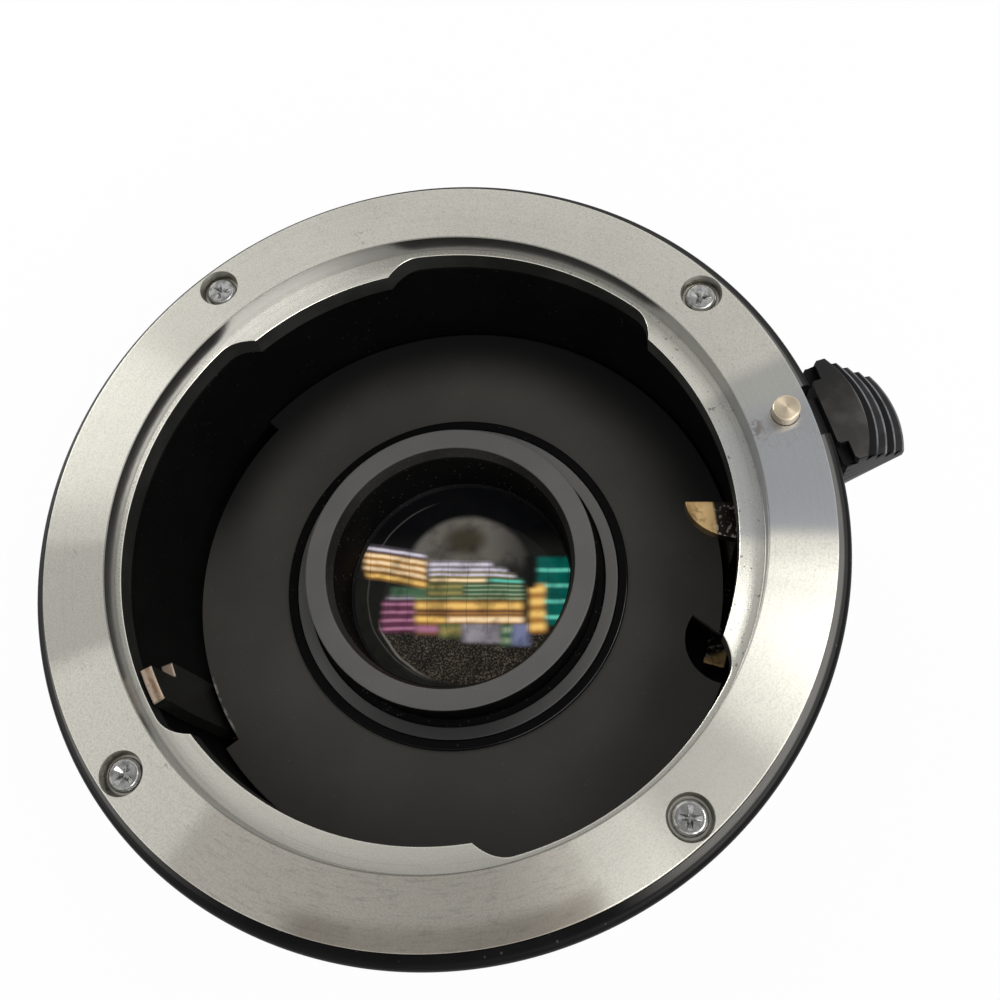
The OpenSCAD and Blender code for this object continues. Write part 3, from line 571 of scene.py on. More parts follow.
class Finish(Shading):
    """A material in the making, with the coordinates of the piece at hand."""

    def __init__(self, name):
        self.material = bpy.data.materials.new(name)
        self.material.use_nodes = True
        super().__init__(self.material.node_tree)
        self.shader = self.tree.nodes["Principled BSDF"]
        self.place = self.node("TexCoord", {}, {}, "Object")
        self.x = self.node("SeparateXYZ", {}, {"Vector": self.place})
        self.y = self.beside(self.x, "Y")
        self.z = self.beside(self.x, "Z")
        self.r = (self.x * self.x + self.y * self.y) ** 0.5

    def noise(self, scale, detail=3.0, vector=None):
        """Cloudy noise from 0 to 1 with spots of about 1 / scale metres."""
        sockets = {"Vector": vector or self.place, "Scale": scale, "Detail": detail}
        return self.node("TexNoise", {}, sockets, "Fac")

    def rings(self, across, along, detail=3.0):
        """Noise drawn out around the axis: the coordinates are x / r and y / r times along, and r + z
        times across."""
        vector = self.node("CombineXYZ", {}, {0: self.x / self.r * along, 1: self.y / self.r * along,
                                              2: (self.r + self.z) * across})
        return self.noise(1.0, detail, vector)

    def wedge(self, low, high, soft):
        """1 between two angles about the axis, in degrees, with soft edges. The angle is counted from the
        middle m of the wedge: atan2(y cos m - x sin m, x cos m + y sin m)."""
        middle = np.radians((low + high) / 2)
        half = np.radians((high - low) / 2)
        blur = np.radians(soft)
        over = self.y * np.cos(middle) - self.x * np.sin(middle)
        along = self.x * np.cos(middle) + self.y * np.sin(middle)
        return abs(over.math("ARCTAN2", over, along)).fall(half - blur, half + blur)

    def specks(self, scale, share):
        """Small round specks of dust: cells of a Voronoi texture near whose middle a point lies, where
        the cell's own random value is in the share."""
        near = self.node("TexVoronoi", {}, {"Vector": self.place, "Scale": scale})
        chance = self.node("SeparateColor", {}, {"Color": self.beside(near, "Color")})
        return near.fall(0.12, 0.3) * chance.fall(share - 0.01, share + 0.01)

    def clouded(self, rgb, scale, low, dim, bright):
        """Tone that wanders between two shares of a colour."""
        return self.mix(self.noise(scale).rise(low, 0.7), scaled(rgb, dim), scaled(rgb, bright))

    def dusted(self, tone, scale, share, strength, rgb):
        """Tone with specks of dust."""
        return self.mix(self.specks(scale, share) * strength, tone, rgb)

    def bump(self, height, distance, strength):
        """Normal of a surface that is raised by height times distance."""
        sockets = {"Strength": strength, "Distance": distance, "Height": height}
        return self.node("Bump", {}, sockets)

    def shade(self, **sockets):
        """Fills the shader's sockets, whose names are given with _ for a space, and returns the material."""
        for key, value in sockets.items():
            self.feed(self.shader.inputs[key.replace("_", " ")], value)
        return self.material

    def coat(self, tone, grain, roughness, spread, depth, strength, **sockets):
        """Shades a surface with a grain, depth millimetres high, that also spreads its roughness."""
        return self.shade(Base_Color=tone, Roughness=roughness + grain * spread,
                          Normal=self.bump(grain, depth * MM, strength), **sockets)


def scaled(rgb, factor):
    """Colour times a factor."""
    return tuple(min(1.0, channel * factor) for channel in rgb)


def display(red, green, blue):
    """Linear colour of a colour given as it is displayed, from 0 to 255."""
    return tuple((channel / 255) ** 2.2 for channel in (red, green, blue))


# Sectors of painted sheen on the front ring, lighter and darker copies of the chrome in place of reflections:
# first and last angle in degrees, softness, share of the chrome's tone
PAINTED_SHEEN = ((122, 131, 4, 0.74), (166, 184.5, 1.6, 0.72), (186, 219, 2, 1.16), (219, 279, 1.6, 0.83),
         (291, 309, 4, 0.6), (333, 340.5, 1.6, 1.2))


def chrome_finish(name, rgb, low, front):
    """Satin chrome from the lathe: a fine blasted grain over faint rings, hairlines, and a brushed finish
    below the height low, painted lighter there as painted light, with a line of painted shade just outside
    the step's radius. The front ring also has sectors of painted sheen, a bluish painted reflection by the
    lock pin, painted shade over its lower sector and near its outer edge there, and a rubbed spot by the lock
    pin."""
    made = Finish(name)
    grain = made.rings(9500, 170.0, 3)
    clouds = made.noise(75)
    drawn = made.rings(5200, 20.0, 4)
    lines = made.rings(7000, 1.6, 3)
    brushed = made.z.fall(low, low + 0.3 * MM)
    tone = made.mix(clouds.rise(0.35, 0.65), scaled(rgb, 0.93), rgb)
    # Painted light: the brushed part below the height low is a lighter copy of the chrome
    tone = made.mix(brushed, tone, scaled(rgb, 1.2))
    cool_reflection = lower = 0.0
    if front:
        for start, end, soft, factor in PAINTED_SHEEN:
            tone = made.mix(made.wedge(start, end, soft) * (1 - brushed) * 0.85, tone, scaled(rgb, factor))
        # Painted reflection: a darker, bluish sector by the lock pin, where the grain is also weaker
        cool_reflection = made.wedge(-19.5, 9, 1.8) * (0.9 - brushed * 0.25)
        tint = made.mix(made.wedge(2, 20, 3), (0.45, 0.462, 0.495), (0.53, 0.53, 0.5))
        tone = made.mix(cool_reflection, tone, tint)
        # Painted shade: the lower sector is warmed and darkened; the same mask also strengthens the drawn
        # streaks
        lower = made.wedge(219, 279, 4) * (1 - brushed)
        tone = made.mix(lower * 0.3, tone, (0.68, 0.58, 0.5))
    shadow = grain.rise(0.38, 0.72) * (0.3 - brushed * 0.2 - cool_reflection * 0.16)
    shadow = shadow + lines.rise(0.52, 0.78) * (0.1 + brushed * 0.14)
    shadow = shadow + drawn.rise(0.48, 0.72) * (0.06 + lower * 0.2)
    tone = made.mix(shadow, tone, scaled(rgb, 0.35))
    nick = made.rings(2600, 60.0, 2).rise(0.66, 0.72) * brushed * made.x.rise(12 * MM, 20 * MM)
    tone = made.mix(nick * 0.7, tone, scaled(rgb, 0.2))
    # Painted shade: a dark line just outside the step's radius
    brink = made.r.band(25.88 * MM, 26.06 * MM, 0.04 * MM) * 0.6
    tone = made.mix(brink, tone, scaled(rgb, 0.12))
    hair = abs(made.rings(700, 14.0, 2) - 0.5)
    scratch = hair.fall(0.0, 0.008) * made.noise(210, 2).rise(0.58, 0.66)
    tone = made.mix(scratch * 0.45, tone, scaled(rgb, 0.25))
    if front:
        # Painted shade in brown near the outer edge of the lower sector, laid on together with a real rubbed
        # spot by the lock pin
        brown_patch = made.r.rise(28.7 * MM, 30.1 * MM) * made.wedge(237, 279, 3)
        brown_patch = brown_patch * (0.6 + clouds.rise(0.25, 0.6) * 0.4)
        spot = made.x.band(26.0 * MM, 27.0 * MM, 0.3 * MM) * made.y.band(-1.6 * MM, 0.3 * MM, 0.3 * MM)
        spot = spot * made.noise(2300).rise(0.46, 0.58)
        tone = made.mix(brown_patch * 0.55 + spot * 0.6, tone, (0.2, 0.16, 0.12))
    return made.shade(Base_Color=tone, Metallic=1.0, Roughness=0.27 + grain * 0.06 - brushed * 0.02,
                      Anisotropic=0.91, Anisotropic_Rotation=ACROSS_RINGS,
                      Normal=made.bump(grain * 0.5 + lines * 0.5, 0.002 * MM, 0.3))


def polished_finish(name, rgb):
    """Smooth turned metal with a cloudy gloss and very fine rings."""
    made = Finish(name)
    lines = made.rings(9000, 1.2, 2)
    tone = made.mix(lines.rise(0.45, 0.8) * 0.4, rgb, scaled(rgb, 0.6))
    return made.shade(Base_Color=tone, Metallic=1.0, Roughness=0.26 + made.noise(260) * 0.12,
                      Normal=made.bump(lines, 0.002 * MM, 0.3))


def anodised_finish(name, rgb, roughness):
    """Satin black on turned metal: fine rings, a cloudy tone and a little dust."""
    made = Finish(name)
    tone = made.clouded(rgb, 160, 0.3, 0.85, 1.15)
    tone = made.dusted(tone, 2600, 0.06, 1.0, (0.12, 0.115, 0.105))
    return made.coat(tone, made.rings(9000, 2.0), roughness, 0.1, 0.004, 0.4)


def lining_finish(name, rgb, dust):
    """Dead black paint that throws back little light, with fine dust."""
    made = Finish(name)
    tone = made.clouded(rgb, 150, 0.35, 0.7, 1.4)
    tone = made.dusted(tone, 3600, dust, 0.6, (0.09, 0.086, 0.078))
    return made.coat(tone, made.noise(4200), 0.52, 0.16, 0.01, 0.3, Specular_IOR_Level=0.08)


def metal_finish(name, rgb, roughness):
    """Plain turned or rolled metal with fine grain and a tarnished tone."""
    made = Finish(name)
    tarnish = made.noise(420, 4).rise(0.4, 0.75)
    tone = made.mix(tarnish * 0.7, rgb, scaled(rgb, 0.55))
    return made.coat(tone, made.noise(7000), roughness, 0.14, 0.006, 0.4, Metallic=1.0)


class TELECONVERTER_OT_stage(bpy.types.Operator):
    """Sets up the floor, the backdrop, the lamps and the camera"""

    bl_idname = "teleconverter.stage"
    bl_label = "Stage"

    def execute(self, context):
        look = context.scene.teleconverter.stage
        scene = context.scene
        scene.view_settings.view_transform = "Standard"
        self.camera(scene, look)
        self.floor(look)
        self.backdrop(scene, look)
        self.lamp("left_lamp", (-0.256, 0.307, 0.128), 0.194, look.left_light)
        self.lamp("right_lamp", (0.198, -0.017, 0.37), 0.102, look.right_light)
        self.lamp("front_lamp", (0.128, -0.221, 0.334), 0.261, look.front_light)
        return {"FINISHED"}

    def camera(self, scene, look):
        """Camera at the photograph's place, from its right, up and back directions."""
        data = bpy.data.cameras.new("camera")
        data.sensor_width = 36
        data.lens = look.lens
        data.clip_start = 1 * MM
        data.clip_end = 20
        camera = bpy.data.objects.new("camera", data)
        right = Vector((0.9579, -0.2638, -0.1136))
        up = Vector((0.2871, 0.8889, 0.3569))
        turn = Matrix((right, up, right.cross(up))).transposed()
        camera.matrix_world = Matrix.Translation((6.50 * MM, -31.20 * MM, 114.98 * MM)) @ turn.to_4x4()
        scene.collection.objects.link(camera)
        scene.camera = camera

    def floor(self, look):
        """Flat pale floor under the rear spigot, which looks white and keeps a faint shadow."""
        low = CAD_BOX[0].z
        corners = np.array([[-3, -3], [3, -3], [3, 3], [-3, 3]])
        mesh = mesh_of("floor", prism(corners, [low - 2 * MM, low], [0, 0]))
        floor = put("floor", mesh)
        made = Finish("pale_floor")
        camera_ray = made.node("LightPath", {}, {}, "Is Camera Ray")
        seen = camera_ray + made.beside(camera_ray, "Is Glossy Ray")
        seen = seen + made.beside(camera_ray, "Is Transmission Ray")
        white = made.node("Emission", {}, {"Color": (1, 1, 1), "Strength": 1.0})
        pale = made.node("BsdfDiffuse", {}, {"Color": look.floor})
        mixed = made.node("MixShader", {}, {0: seen * 0.93, 1: pale, 2: white})
        made.feed(made.tree.nodes["Material Output"].inputs["Surface"], mixed)
        mesh.materials.append(made.material)

    def backdrop(self, scene, look):
        """Pale surroundings: bright at the sides, darker overhead, and white where the camera sees them."""
        world = bpy.data.worlds.new("backdrop")
        world.use_nodes = True
        sky = Shading(world.node_tree)
        way = sky.node("TexCoord", {}, {}, "Generated")
        height = sky.node("SeparateXYZ", {}, {"Vector": way}, "Z")
        tone = sky.mix(height.rise(0.74, 1.08), look.walls, look.ceiling)
        tone = sky.mix(sky.node("LightPath", {}, {}, "Is Camera Ray"), tone, (1.0, 1.0, 1.0))
        sky.feed(world.node_tree.nodes["Background"].inputs["Color"], tone)
        scene.world = world

    def lamp(self, name, place, size, power):
        """Square soft lamp that faces the mounting face."""
        data = bpy.data.lights.new(name, "AREA")
        data.size = size
        data.energy = power
        lamp = bpy.data.objects.new(name, data)
        lamp.location = place
        aim = Vector((0, 0, 30 * MM)) - Vector(place)
        lamp.rotation_euler = aim.to_track_quat("-Z", "Y").to_euler()
        bpy.context.scene.collection.objects.link(lamp)


def lug_gap(angles, lean):
    """How far the inner edge is drawn back from the lugs' tips at each angle in degrees: 0 on a lug, 1 in
    a gap, and 1 - (1 - t)^2 over the leaning end between them, t being the share of the lean."""
    middle = LUGS.mean(axis=1)
    half = (LUGS[:, 1] - LUGS[:, 0]) / 2
    beyond = np.abs((angles[:, None] - middle + 180) % 360 - 180) - half
    t = np.clip(beyond.min(axis=1) / lean, 0, 1)
    return 1 - (1 - t) ** 2


def screw_pockets(circle, angles, face, into):
    """Tools that sink a coned pocket for each screw into a face, along into, which is 1 or -1 in height."""
    radii = np.array([1.72, 1.69, 1.5, 1.46]) * MM
    heights = face + into * np.array([-0.1, 0.0, 0.62, 0.9]) * MM
    return [round_stack(*on_circle(circle, angle)[:2], radii, heights) for angle in angles]


class TELECONVERTER_OT_front_mount(bpy.types.Operator):
    """Builds the chromed front ring with its three lugs"""

    bl_idname = "teleconverter.front_mount"
    bl_label = "Front mount"

    def execute(self, context):
        look = context.scene.teleconverter.mount
        lean = 6.4
        near = np.linspace(0, 1, 18)
        ends = np.concatenate([LUGS[:, 1, None] + lean * near, LUGS[:, 0, None] - lean * near]).ravel()
        angles = np.unique(np.concatenate([np.arange(0, 360, 0.75), ends % 360]).round(6))
        gap = lug_gap(angles, lean)[:, None, None]
        lug_outline = self.outline(look, look.throat)
        gap_outline = self.outline(look, look.cavity)
        shape = turned((1 - gap) * lug_outline + gap * gap_outline, np.radians(angles))
        cuts = screw_pockets(look.screw_circle, FRONT_SCREW_ANGLES, look.face, -1)
        cuts.append(round_bar(PIN_CIRCLE, 0, 1.1 * MM, look.face - FLANGE_DEPTH, look.face + MM))
        chrome = chrome_finish("satin_chrome", look.chrome, look.ledge, True)
        ring = piece("front_ring", shape, chrome, ["front_flange"], cuts)
        self.walls(ring, look)
        return {"FINISHED"}

    def walls(self, ring, look):
        """Finishes of the walls: black inside the throat, and polished on the step and in the pockets, where
        darker copies of the chrome are painted shade.
        """
        # Painted shade: the step wall and the screw pockets get darker copies of the chrome
        steps = polished_finish("step_shaded_chrome", (0.27, 0.27, 0.275))
        shaded_pocket = polished_finish("pocket_shaded_chrome", scaled(look.chrome, 0.5))
        black = lining_finish("throat_black", (0.022, 0.022, 0.02), 0.05)
        holes = np.array([on_circle(look.screw_circle, angle)[:2] for angle in FRONT_SCREW_ANGLES])
        edge = 0.02 * MM

        def in_throat(x, y, z):
            return (np.hypot(x, y) < look.cavity + 5 * edge) & (z < look.ledge - 3 * edge)

        def on_step(x, y, z):
            r = np.hypot(x, y)
            between = (z > look.ledge + 2 * edge) & (z < look.face - 2 * edge)
            return between & (np.abs(r - look.step) < 5 * edge)

        def in_pocket(x, y, z):
            far = np.hypot(x[:, None] - holes[:, 0], y[:, None] - holes[:, 1]).min(axis=1)
            return (far < 1.75 * MM) & (z < look.face - 0.4 * edge)

        refinish(ring, (black, in_throat), (steps, on_step), (shaded_pocket, in_pocket))

    def outline(self, look, inner):
        """Section of the ring where its inner edge has this radius."""
        seat = look.face - 2.2 * MM
        foot = look.face - FLANGE_DEPTH
        neck = 27.5 * MM
        corners = [[inner, foot], [neck, foot], [neck, seat], [look.outer, seat], [look.outer, look.face],
                   [look.step, look.face], [look.step, look.ledge], [inner, look.ledge]]
        return soften(corners, np.array([0.12, 0.1, 0, 0.05, 0.09, 0.045, 0.05, 0.1]) * MM)


def screw_shape(face):
    """Head of a cross-head screw about the vertical axis: a turned outline, domed with a flat top."""
    top = face - HEAD_SINK
    low, side = top - 0.48 * MM, top - 0.24 * MM
    r, flat = 1.3 * MM, 1.08 * MM
    corners = [[0, low], [r, low], [r, side], [flat, top], [0, top]]
    outline = soften(corners, np.array([0, 0.04, 0.16, 0.12, 0]) * MM)
    return turned(outline, around(72))


def cross_shape(face):
    """Cross recess: a rounded cross outline that narrows downwards."""
    top = face - HEAD_SINK
    w, arm = 0.21 * MM, 0.84 * MM
    corners = [[arm, -w], [arm, w], [w, w], [w, arm], [-w, arm], [-w, w], [-arm, w], [-arm, -w], [-w, -w],
               [-w, -arm], [w, -arm], [w, -w]]
    outline = soften(corners, 0.1 * MM, 3)
    heights = np.array([top + 0.25 * MM, top, top - 0.16 * MM, top - 0.4 * MM])
    scales = np.array([1.3, 1.0, 0.7, 0.35])
    return lofted(raised(outline[None] * scales[:, None, None], heights))


class TELECONVERTER_OT_mount_screws(bpy.types.Operator):
    """Builds the cross-head screws of both mounts"""

    bl_idname = "teleconverter.mount_screws"
    bl_label = "Mount screws"

    def execute(self, context):
        look = context.scene.teleconverter.mount
        steel = self.finish(look)
        turns = np.array([52.0, 66.0, 38.0, 70.0])
        self.screws("front_screw_heads", "front_screws", steel, look, FRONT_SCREW_ANGLES, turns, False)
        self.screws("rear_screw_heads", "rear_screws", steel, look, REAR_SCREW_ANGLES, turns + 20, True)
        return {"FINISHED"}

    def screws(self, name, node, steel, look, angles, turns, rear):
        """Four screws on the circle, each with its own turn. Rear ones are mirrored in height."""
        face = look.face
        places = [(on_circle(look.screw_circle, a), t) for a, t in zip(angles, turns)]
        heads = joined([moved(screw_shape(face), place, turn) for place, turn in places])
        crosses = joined([moved(cross_shape(face), place, turn) for place, turn in places])
        if rear:
            heads[0][:, 2] = face - heads[0][:, 2]
            crosses[0][:, 2] = face - crosses[0][:, 2]
        piece(name, heads, steel, [node], [crosses])

    def finish(self, look):
        """Bright steel with worn, darker patches and fine marks."""
        made = Finish("screw_steel")
        grain = made.noise(6000)
        wear = made.noise(1700, 4).rise(0.42, 0.66)
        tone = made.mix(wear * 0.75, look.steel, scaled(look.steel, 0.3))
        return made.shade(Base_Color=tone, Metallic=1.0, Roughness=0.2 + wear * 0.2,
                          Normal=made.bump(grain, 0.025 * MM, 0.5))


class TELECONVERTER_OT_body(bpy.types.Operator):
    """Builds the black outer body with its lip, grip grooves and lock well"""

    bl_idname = "teleconverter.body"
    bl_label = "Body"

    def execute(self, context):
        look = context.scene.teleconverter.body
        outer = look.outer / MM
        lip = look.lip / MM
        # Radius and height of the inside, from the front ring's seat down to the rear one
        inside = [[31.05, 35.8], [27.55, 35.8], [27.55, 33.9], [25.5, 33.9], [25.5, 21.45], [26, 21.45],
                  [26, 12.65], [28, 12.65], [28, 2.5], [31.05, 2.5], [31.05, 0.8], [outer, 0.8]]
        depth = look.groove / MM
        groove = np.array([[0, -0.6], [-depth, -0.3], [-depth, 0.3], [0, 0.6]])
        count, first, pitch = 6, 5.8, 2.4
        middles = first + pitch * np.arange(count)
        grooves = groove[None] + np.stack([np.full(count, outer), middles], axis=-1)[:, None]
        t = np.linspace(0, np.pi / 2, 9)
        r = 0.6
        shoulder = np.stack([outer - r + r * np.cos(t), lip - r + r * np.sin(t)], axis=-1)
        corners = np.concatenate([inside, grooves.reshape(-1, 2), shoulder, [[31.05, lip]]])
        last = len(inside) - 1
        radii = np.full(len(corners), 0.12)
        radii[:last] = 0.06
        radii[last] = 0.35
        radii[-len(shoulder) - 1:] = 0.04
        outline = soften(corners, radii) * MM
        well = box_shape((27.15, -2.2, 29.4), (33.5, 2.2, 38.5))
        shape = turned(outline, around(300))
        body = piece("outer_body", shape, self.finish(look), ["body_shell"], [well])
        lining = lining_finish("cavity_black", look.lining, 0.04)
        refinish(body, (lining, lambda x, y, z: np.hypot(x, y) < 26.6 * MM))
        return {"FINISHED"}

    def finish(self, look):
        """Black enamel on metal: the flat of the lip is rubbed to a satin grey."""
        made = Finish("black_enamel")
        grain = made.noise(5200)
        wear = made.noise(220, 4).rise(0.42, 0.7)
        fine = made.rings(5000, 14.0, 2)
        top = made.z.rise(look.lip - 0.07 * MM, look.lip - 0.02 * MM)
        low = made.y.fall(-25 * MM, -8 * MM) * made.x.fall(5 * MM, 14 * MM)
        rim = top * (0.75 + fine * 0.25) * (1 - low) * (1 - made.r.rise(31.46 * MM, 31.62 * MM) * 0.85)
        tone = made.mix(wear * 0.5, look.black, scaled(look.black, 2.0))
        tone = made.dusted(tone, 2600, 0.05, 0.6, (0.08, 0.078, 0.075))
        tone = made.mix(rim, tone, look.rim)
        return made.shade(Base_Color=tone, Metallic=rim * 0.9, Roughness=0.34 + grain * 0.1 + rim * 0.04,
                          Specular_IOR_Level=0.09, Normal=made.bump(grain, 0.012 * MM, 0.35))


class TELECONVERTER_OT_lock_pin(bpy.types.Operator):
    """Builds the brass lock pin"""

    bl_idname = "teleconverter.lock_pin"
    bl_label = "Lock pin"

    def execute(self, context):
        look = context.scene.teleconverter.lock
        r = look.pin
        top = look.top
        stem, collar = 0.6 * MM, 1.5 * MM
        foot, low, high = 27.7 * MM, 34.6 * MM, 35.65 * MM
        corners = [[0, foot], [stem, foot], [stem, low], [collar, low], [collar, high], [r, high], [r, top],
                   [0, top]]
        outline = soften(corners, np.array([0, 0.1, 0, 0.05, 0.05, 0, 0.14, 0]) * MM)
        shape = moved(turned(outline, around(96)), (PIN_CIRCLE, 0, 0))
        piece("lock_pin_bar", shape, self.finish(look), ["lock_pin"])
        return {"FINISHED"}

    def finish(self, look):
        """Pale turned brass: rings about the pin's own axis, and tarnish down its side."""
        made = Finish("pin_brass")
        dx = made.x - PIN_CIRCLE
        own = (dx * dx + made.y * made.y) ** 0.5
        rings = made.noise(1.0, 2, made.node("CombineXYZ", {}, {0: own * 16000, 1: made.z * 9000}))
        tarnish = made.noise(900, 4).rise(0.4, 0.7)
        side = made.z.fall(look.top - 0.35 * MM, look.top - 0.1 * MM)
        tone = made.mix(tarnish * 0.3, look.brass, scaled(look.brass, 0.6))
        tone = made.mix(side * 0.5, tone, scaled(look.brass, 0.42))
        return made.coat(tone, rings, 0.24, 0.14, 0.004, 0.5, Metallic=1.0, Anisotropic=0.75,
                         Anisotropic_Rotation=ACROSS_RINGS)


class TELECONVERTER_OT_release_slide(bpy.types.Operator):
    """Builds the ribbed release slide"""

    bl_idname = "teleconverter.release_slide"
    bl_label = "Release slide"

    def execute(self, context):
        look = context.scene.teleconverter.lock
        rib = look.rib_height / MM
        step = look.rib_out / MM
        top = look.slide_top / MM
        turn = np.linspace(0, np.pi / 2, 4)
        edge = 0.2
        layers = np.arange(5)
        heights = (top - layers[:, None] * rib) - np.append(edge * (1 - np.cos(turn)), rib)[None]
        insets = np.broadcast_to(np.append(edge * (1 - np.sin(turn)), 0), heights.shape)
        reach = SLIDE_REACH + step * layers[:, None] - insets
        widest, lean = 4.55, 0.24
        base = widest - 0.6 * insets
        half = base - lean * layers[:, None]
        notch = 0.8 * (layers[:, None] == 0) * np.ones_like(insets)
        low = top - len(layers) * rib
        heights = np.append(heights.ravel(), [low - 0.5, low - 1.3])
        reach = np.append(reach.ravel(), [5.0, 1.9])
        half = np.append(half.ravel(), [3.8, 4.2])
        base = np.append(base.ravel(), [4.45, 4.35])
        notch = np.append(notch.ravel(), [0.0, 0.0])
        loops = self.loops(heights, reach, half, base, notch)
        link = box_shape((31.6, -1.9, 33.6), (34.6, 1.9, 34.6))
        piece("ribbed_slide", lofted(loops), self.finish(look), ["release_slide"], [link], 24)
        return {"FINISHED"}

    def loops(self, heights, reach, half, base, notch):
        """Outlines of the slide: an inner edge with a tongue between two notches, ends that lean in from
        the base, and an outer edge on an arc of radius R: x = edge + reach - R + sqrt(R^2 - y^2)."""
        y = np.linspace(-1, 1, 25)[None] * half[:, None]
        x = SLIDE_EDGE + reach[:, None] - SLIDE_ARC + np.sqrt(SLIDE_ARC ** 2 - y ** 2)
        front = np.full((len(heights), 1), SLIDE_EDGE)
        back = front + notch[:, None]
        tongue = np.full_like(front, 2.85)
        end = base[:, None]
        xs = [x, back + 0.25, back, back, back, front + 0.25 * notch[:, None], front, front,
              front + 0.25 * notch[:, None], back, back, back, back + 0.25]
        ys = [y, end, end - 0.25, tongue + 0.25, tongue, tongue, tongue - 0.2, 0.2 - tongue, -tongue,
              -tongue, -tongue - 0.25, 0.25 - end, -end]
        flat = np.stack([np.concatenate(xs, axis=1), np.concatenate(ys, axis=1)], axis=-1)
        return raised(flat, heights) * MM

    def finish(self, look):
        """Satin black with a fine grain, rubbed paler along the ribs' edges, where the paler tone is also
        painted highlight, a painted sheen on the front plate, and painted shade that makes it dead black
        underneath."""
        made = Finish("slide_black")
        across = ((look.slide_top - made.z) / look.rib_height).part()
        out = made.x.rise(35.2 * MM, 35.8 * MM)
        arc = (SLIDE_ARC ** 2 - made.y * made.y / MM ** 2) ** 0.5
        beyond = made.x / MM - (SLIDE_EDGE + SLIDE_REACH - SLIDE_ARC) - arc
        brim = (beyond / (look.rib_out / MM)).part().rise(0.74, 0.86)
        # The rib edges are rubbed paler, and the paler tone also stands as painted highlight
        edge = across.fall(0.08, 0.16) * (0.55 + made.noise(700).rise(0.3, 0.6) * 0.45) * out
        tone = made.mix(edge * (0.12 + brim * 0.88), look.slide, (0.17, 0.172, 0.18))
        # Painted sheen across the front plate, paler towards one side
        flat = made.z.rise(look.slide_top - 0.1 * MM, look.slide_top)
        plate = flat * (0.45 - made.y.rise(-4 * MM, 4 * MM) * 0.3)
        tone = made.mix(plate + made.noise(500).rise(0.45, 0.75) * plate, tone, (0.075, 0.071, 0.066))
        # Painted shade on the lowest part of the slide
        under = made.z.fall(look.slide_top - 5.6 * MM, look.slide_top - 4.9 * MM)
        tone = made.mix(under, tone, (0.001, 0.001, 0.001))
        return made.coat(tone, made.noise(6500), 0.3, 0.14, 0.012, 0.4, Specular_IOR_Level=0.07)


class TELECONVERTER_OT_cavity_floor(bpy.types.Operator):
    """Builds the satin floor with its lever slots, and the gloss ring on it"""

    bl_idname = "teleconverter.cavity_floor"
    bl_label = "Cavity floor"

    def execute(self, context):
        look = context.scene.teleconverter.cavity
        top = look.floor
        low = top - 0.8 * MM
        inner, outer = 12.85 * MM, 25.2 * MM
        corners = [[inner, low], [outer, low], [outer, top], [inner, top]]
        outline = soften(corners, np.array([0, 0.05, 0.12, 0]) * MM)
        ring = turned(outline, around(300))
        under, over = low - MM, top + MM
        near, far = SLOT_EDGE, 27 * MM
        slot = np.array([[near, under], [far, under], [far, over], [near, over]])
        cuts = [arc_bar(slot, *APERTURE_SLOT), arc_bar(slot, *STOP_DOWN_SLOT), self.eye(under, over)]
        piece("cavity_floor", ring, self.finish(look), ["floor_baffle"], cuts)
        self.bead(look)
        return {"FINISHED"}

    def eye(self, low, top):
        """Wide end of the stop-down slot: half a disc with its flat side turned from the radius."""
        a = np.linspace(np.pi, 2 * np.pi, 48)
        r = 3.8
        outline = np.stack([r * np.cos(a), r * np.sin(a)], axis=-1) * MM
        leaning = moved(prism(outline, [low, top], [0, 0]), (24.8 * MM, 0, 0), -24.0)
        return moved(leaning, (0, 0, 0), STOP_DOWN_SLOT[0] + 2.5)

    def bead(self, look):
        """Polished flat ring round the cell's collar: a turned section with eased edges."""
        top = look.floor
        inner, outer, high = 14.64 * MM, 15.5 * MM, top + 0.5 * MM
        corners = [[inner, top], [outer, top], [outer, high], [inner, high]]
        outline = soften(corners, np.array([0, 0, 0.2, 0.1]) * MM, 7)
        made = Finish("gloss_black")
        smear = made.noise(420, 4)
        tone = made.dusted(look.gloss_black, 3200, 0.06, 0.6, (0.1, 0.095, 0.09))
        gloss = made.shade(Base_Color=tone, Roughness=0.1 + smear.rise(0.45, 0.8) * 0.12,
                           Specular_IOR_Level=0.5, Normal=made.bump(smear, 0.01 * MM, 0.3))
        bead = piece("gloss_bead", turned(outline), gloss, ["gloss_ring"])
        dead = lining_finish("bead_black", look.gloss_black, 0.03)
        refinish(bead, (dead, lambda x, y, z: np.hypot(x, y) < 15.38 * MM))

    def finish(self, look):
        """Satin black sheet: fine even grain, dust, painted shade at the far edge, and a painted highlight in
        a bright line along the aperture slot's edge."""
        made = Finish("floor_satin")
        tone = made.clouded(look.floor_black, 130, 0.3, 0.9, 1.1)
        tone = made.dusted(tone, 3400, 0.04, 0.35, (0.13, 0.125, 0.115))
        # Painted shade towards the far edge
        far = made.r.rise(18.5 * MM, 24.2 * MM) * (made.y + made.x * 0.3).rise(-1 * MM, 9 * MM)
        tone = made.mix(far, tone, (0.0015, 0.0015, 0.0015))
        # Painted highlight: a bright line along the aperture slot's edge
        highlit_slot_edge = (made.r - SLOT_EDGE).band(-0.2 * MM, 0.02 * MM, 0.05 * MM) * made.x.fall(-MM, 0.0)
        pale_mark = highlit_slot_edge * made.y.band(-7.6 * MM, -2.6 * MM, 0.4 * MM) * made.noise(1500).rise(0.35, 0.6)
        tone = made.mix(pale_mark * 0.8, tone, (0.24, 0.23, 0.21))
        return made.coat(tone, made.noise(4200), 0.46, 0.14, 0.014, 0.35, Specular_IOR_Level=0.35)


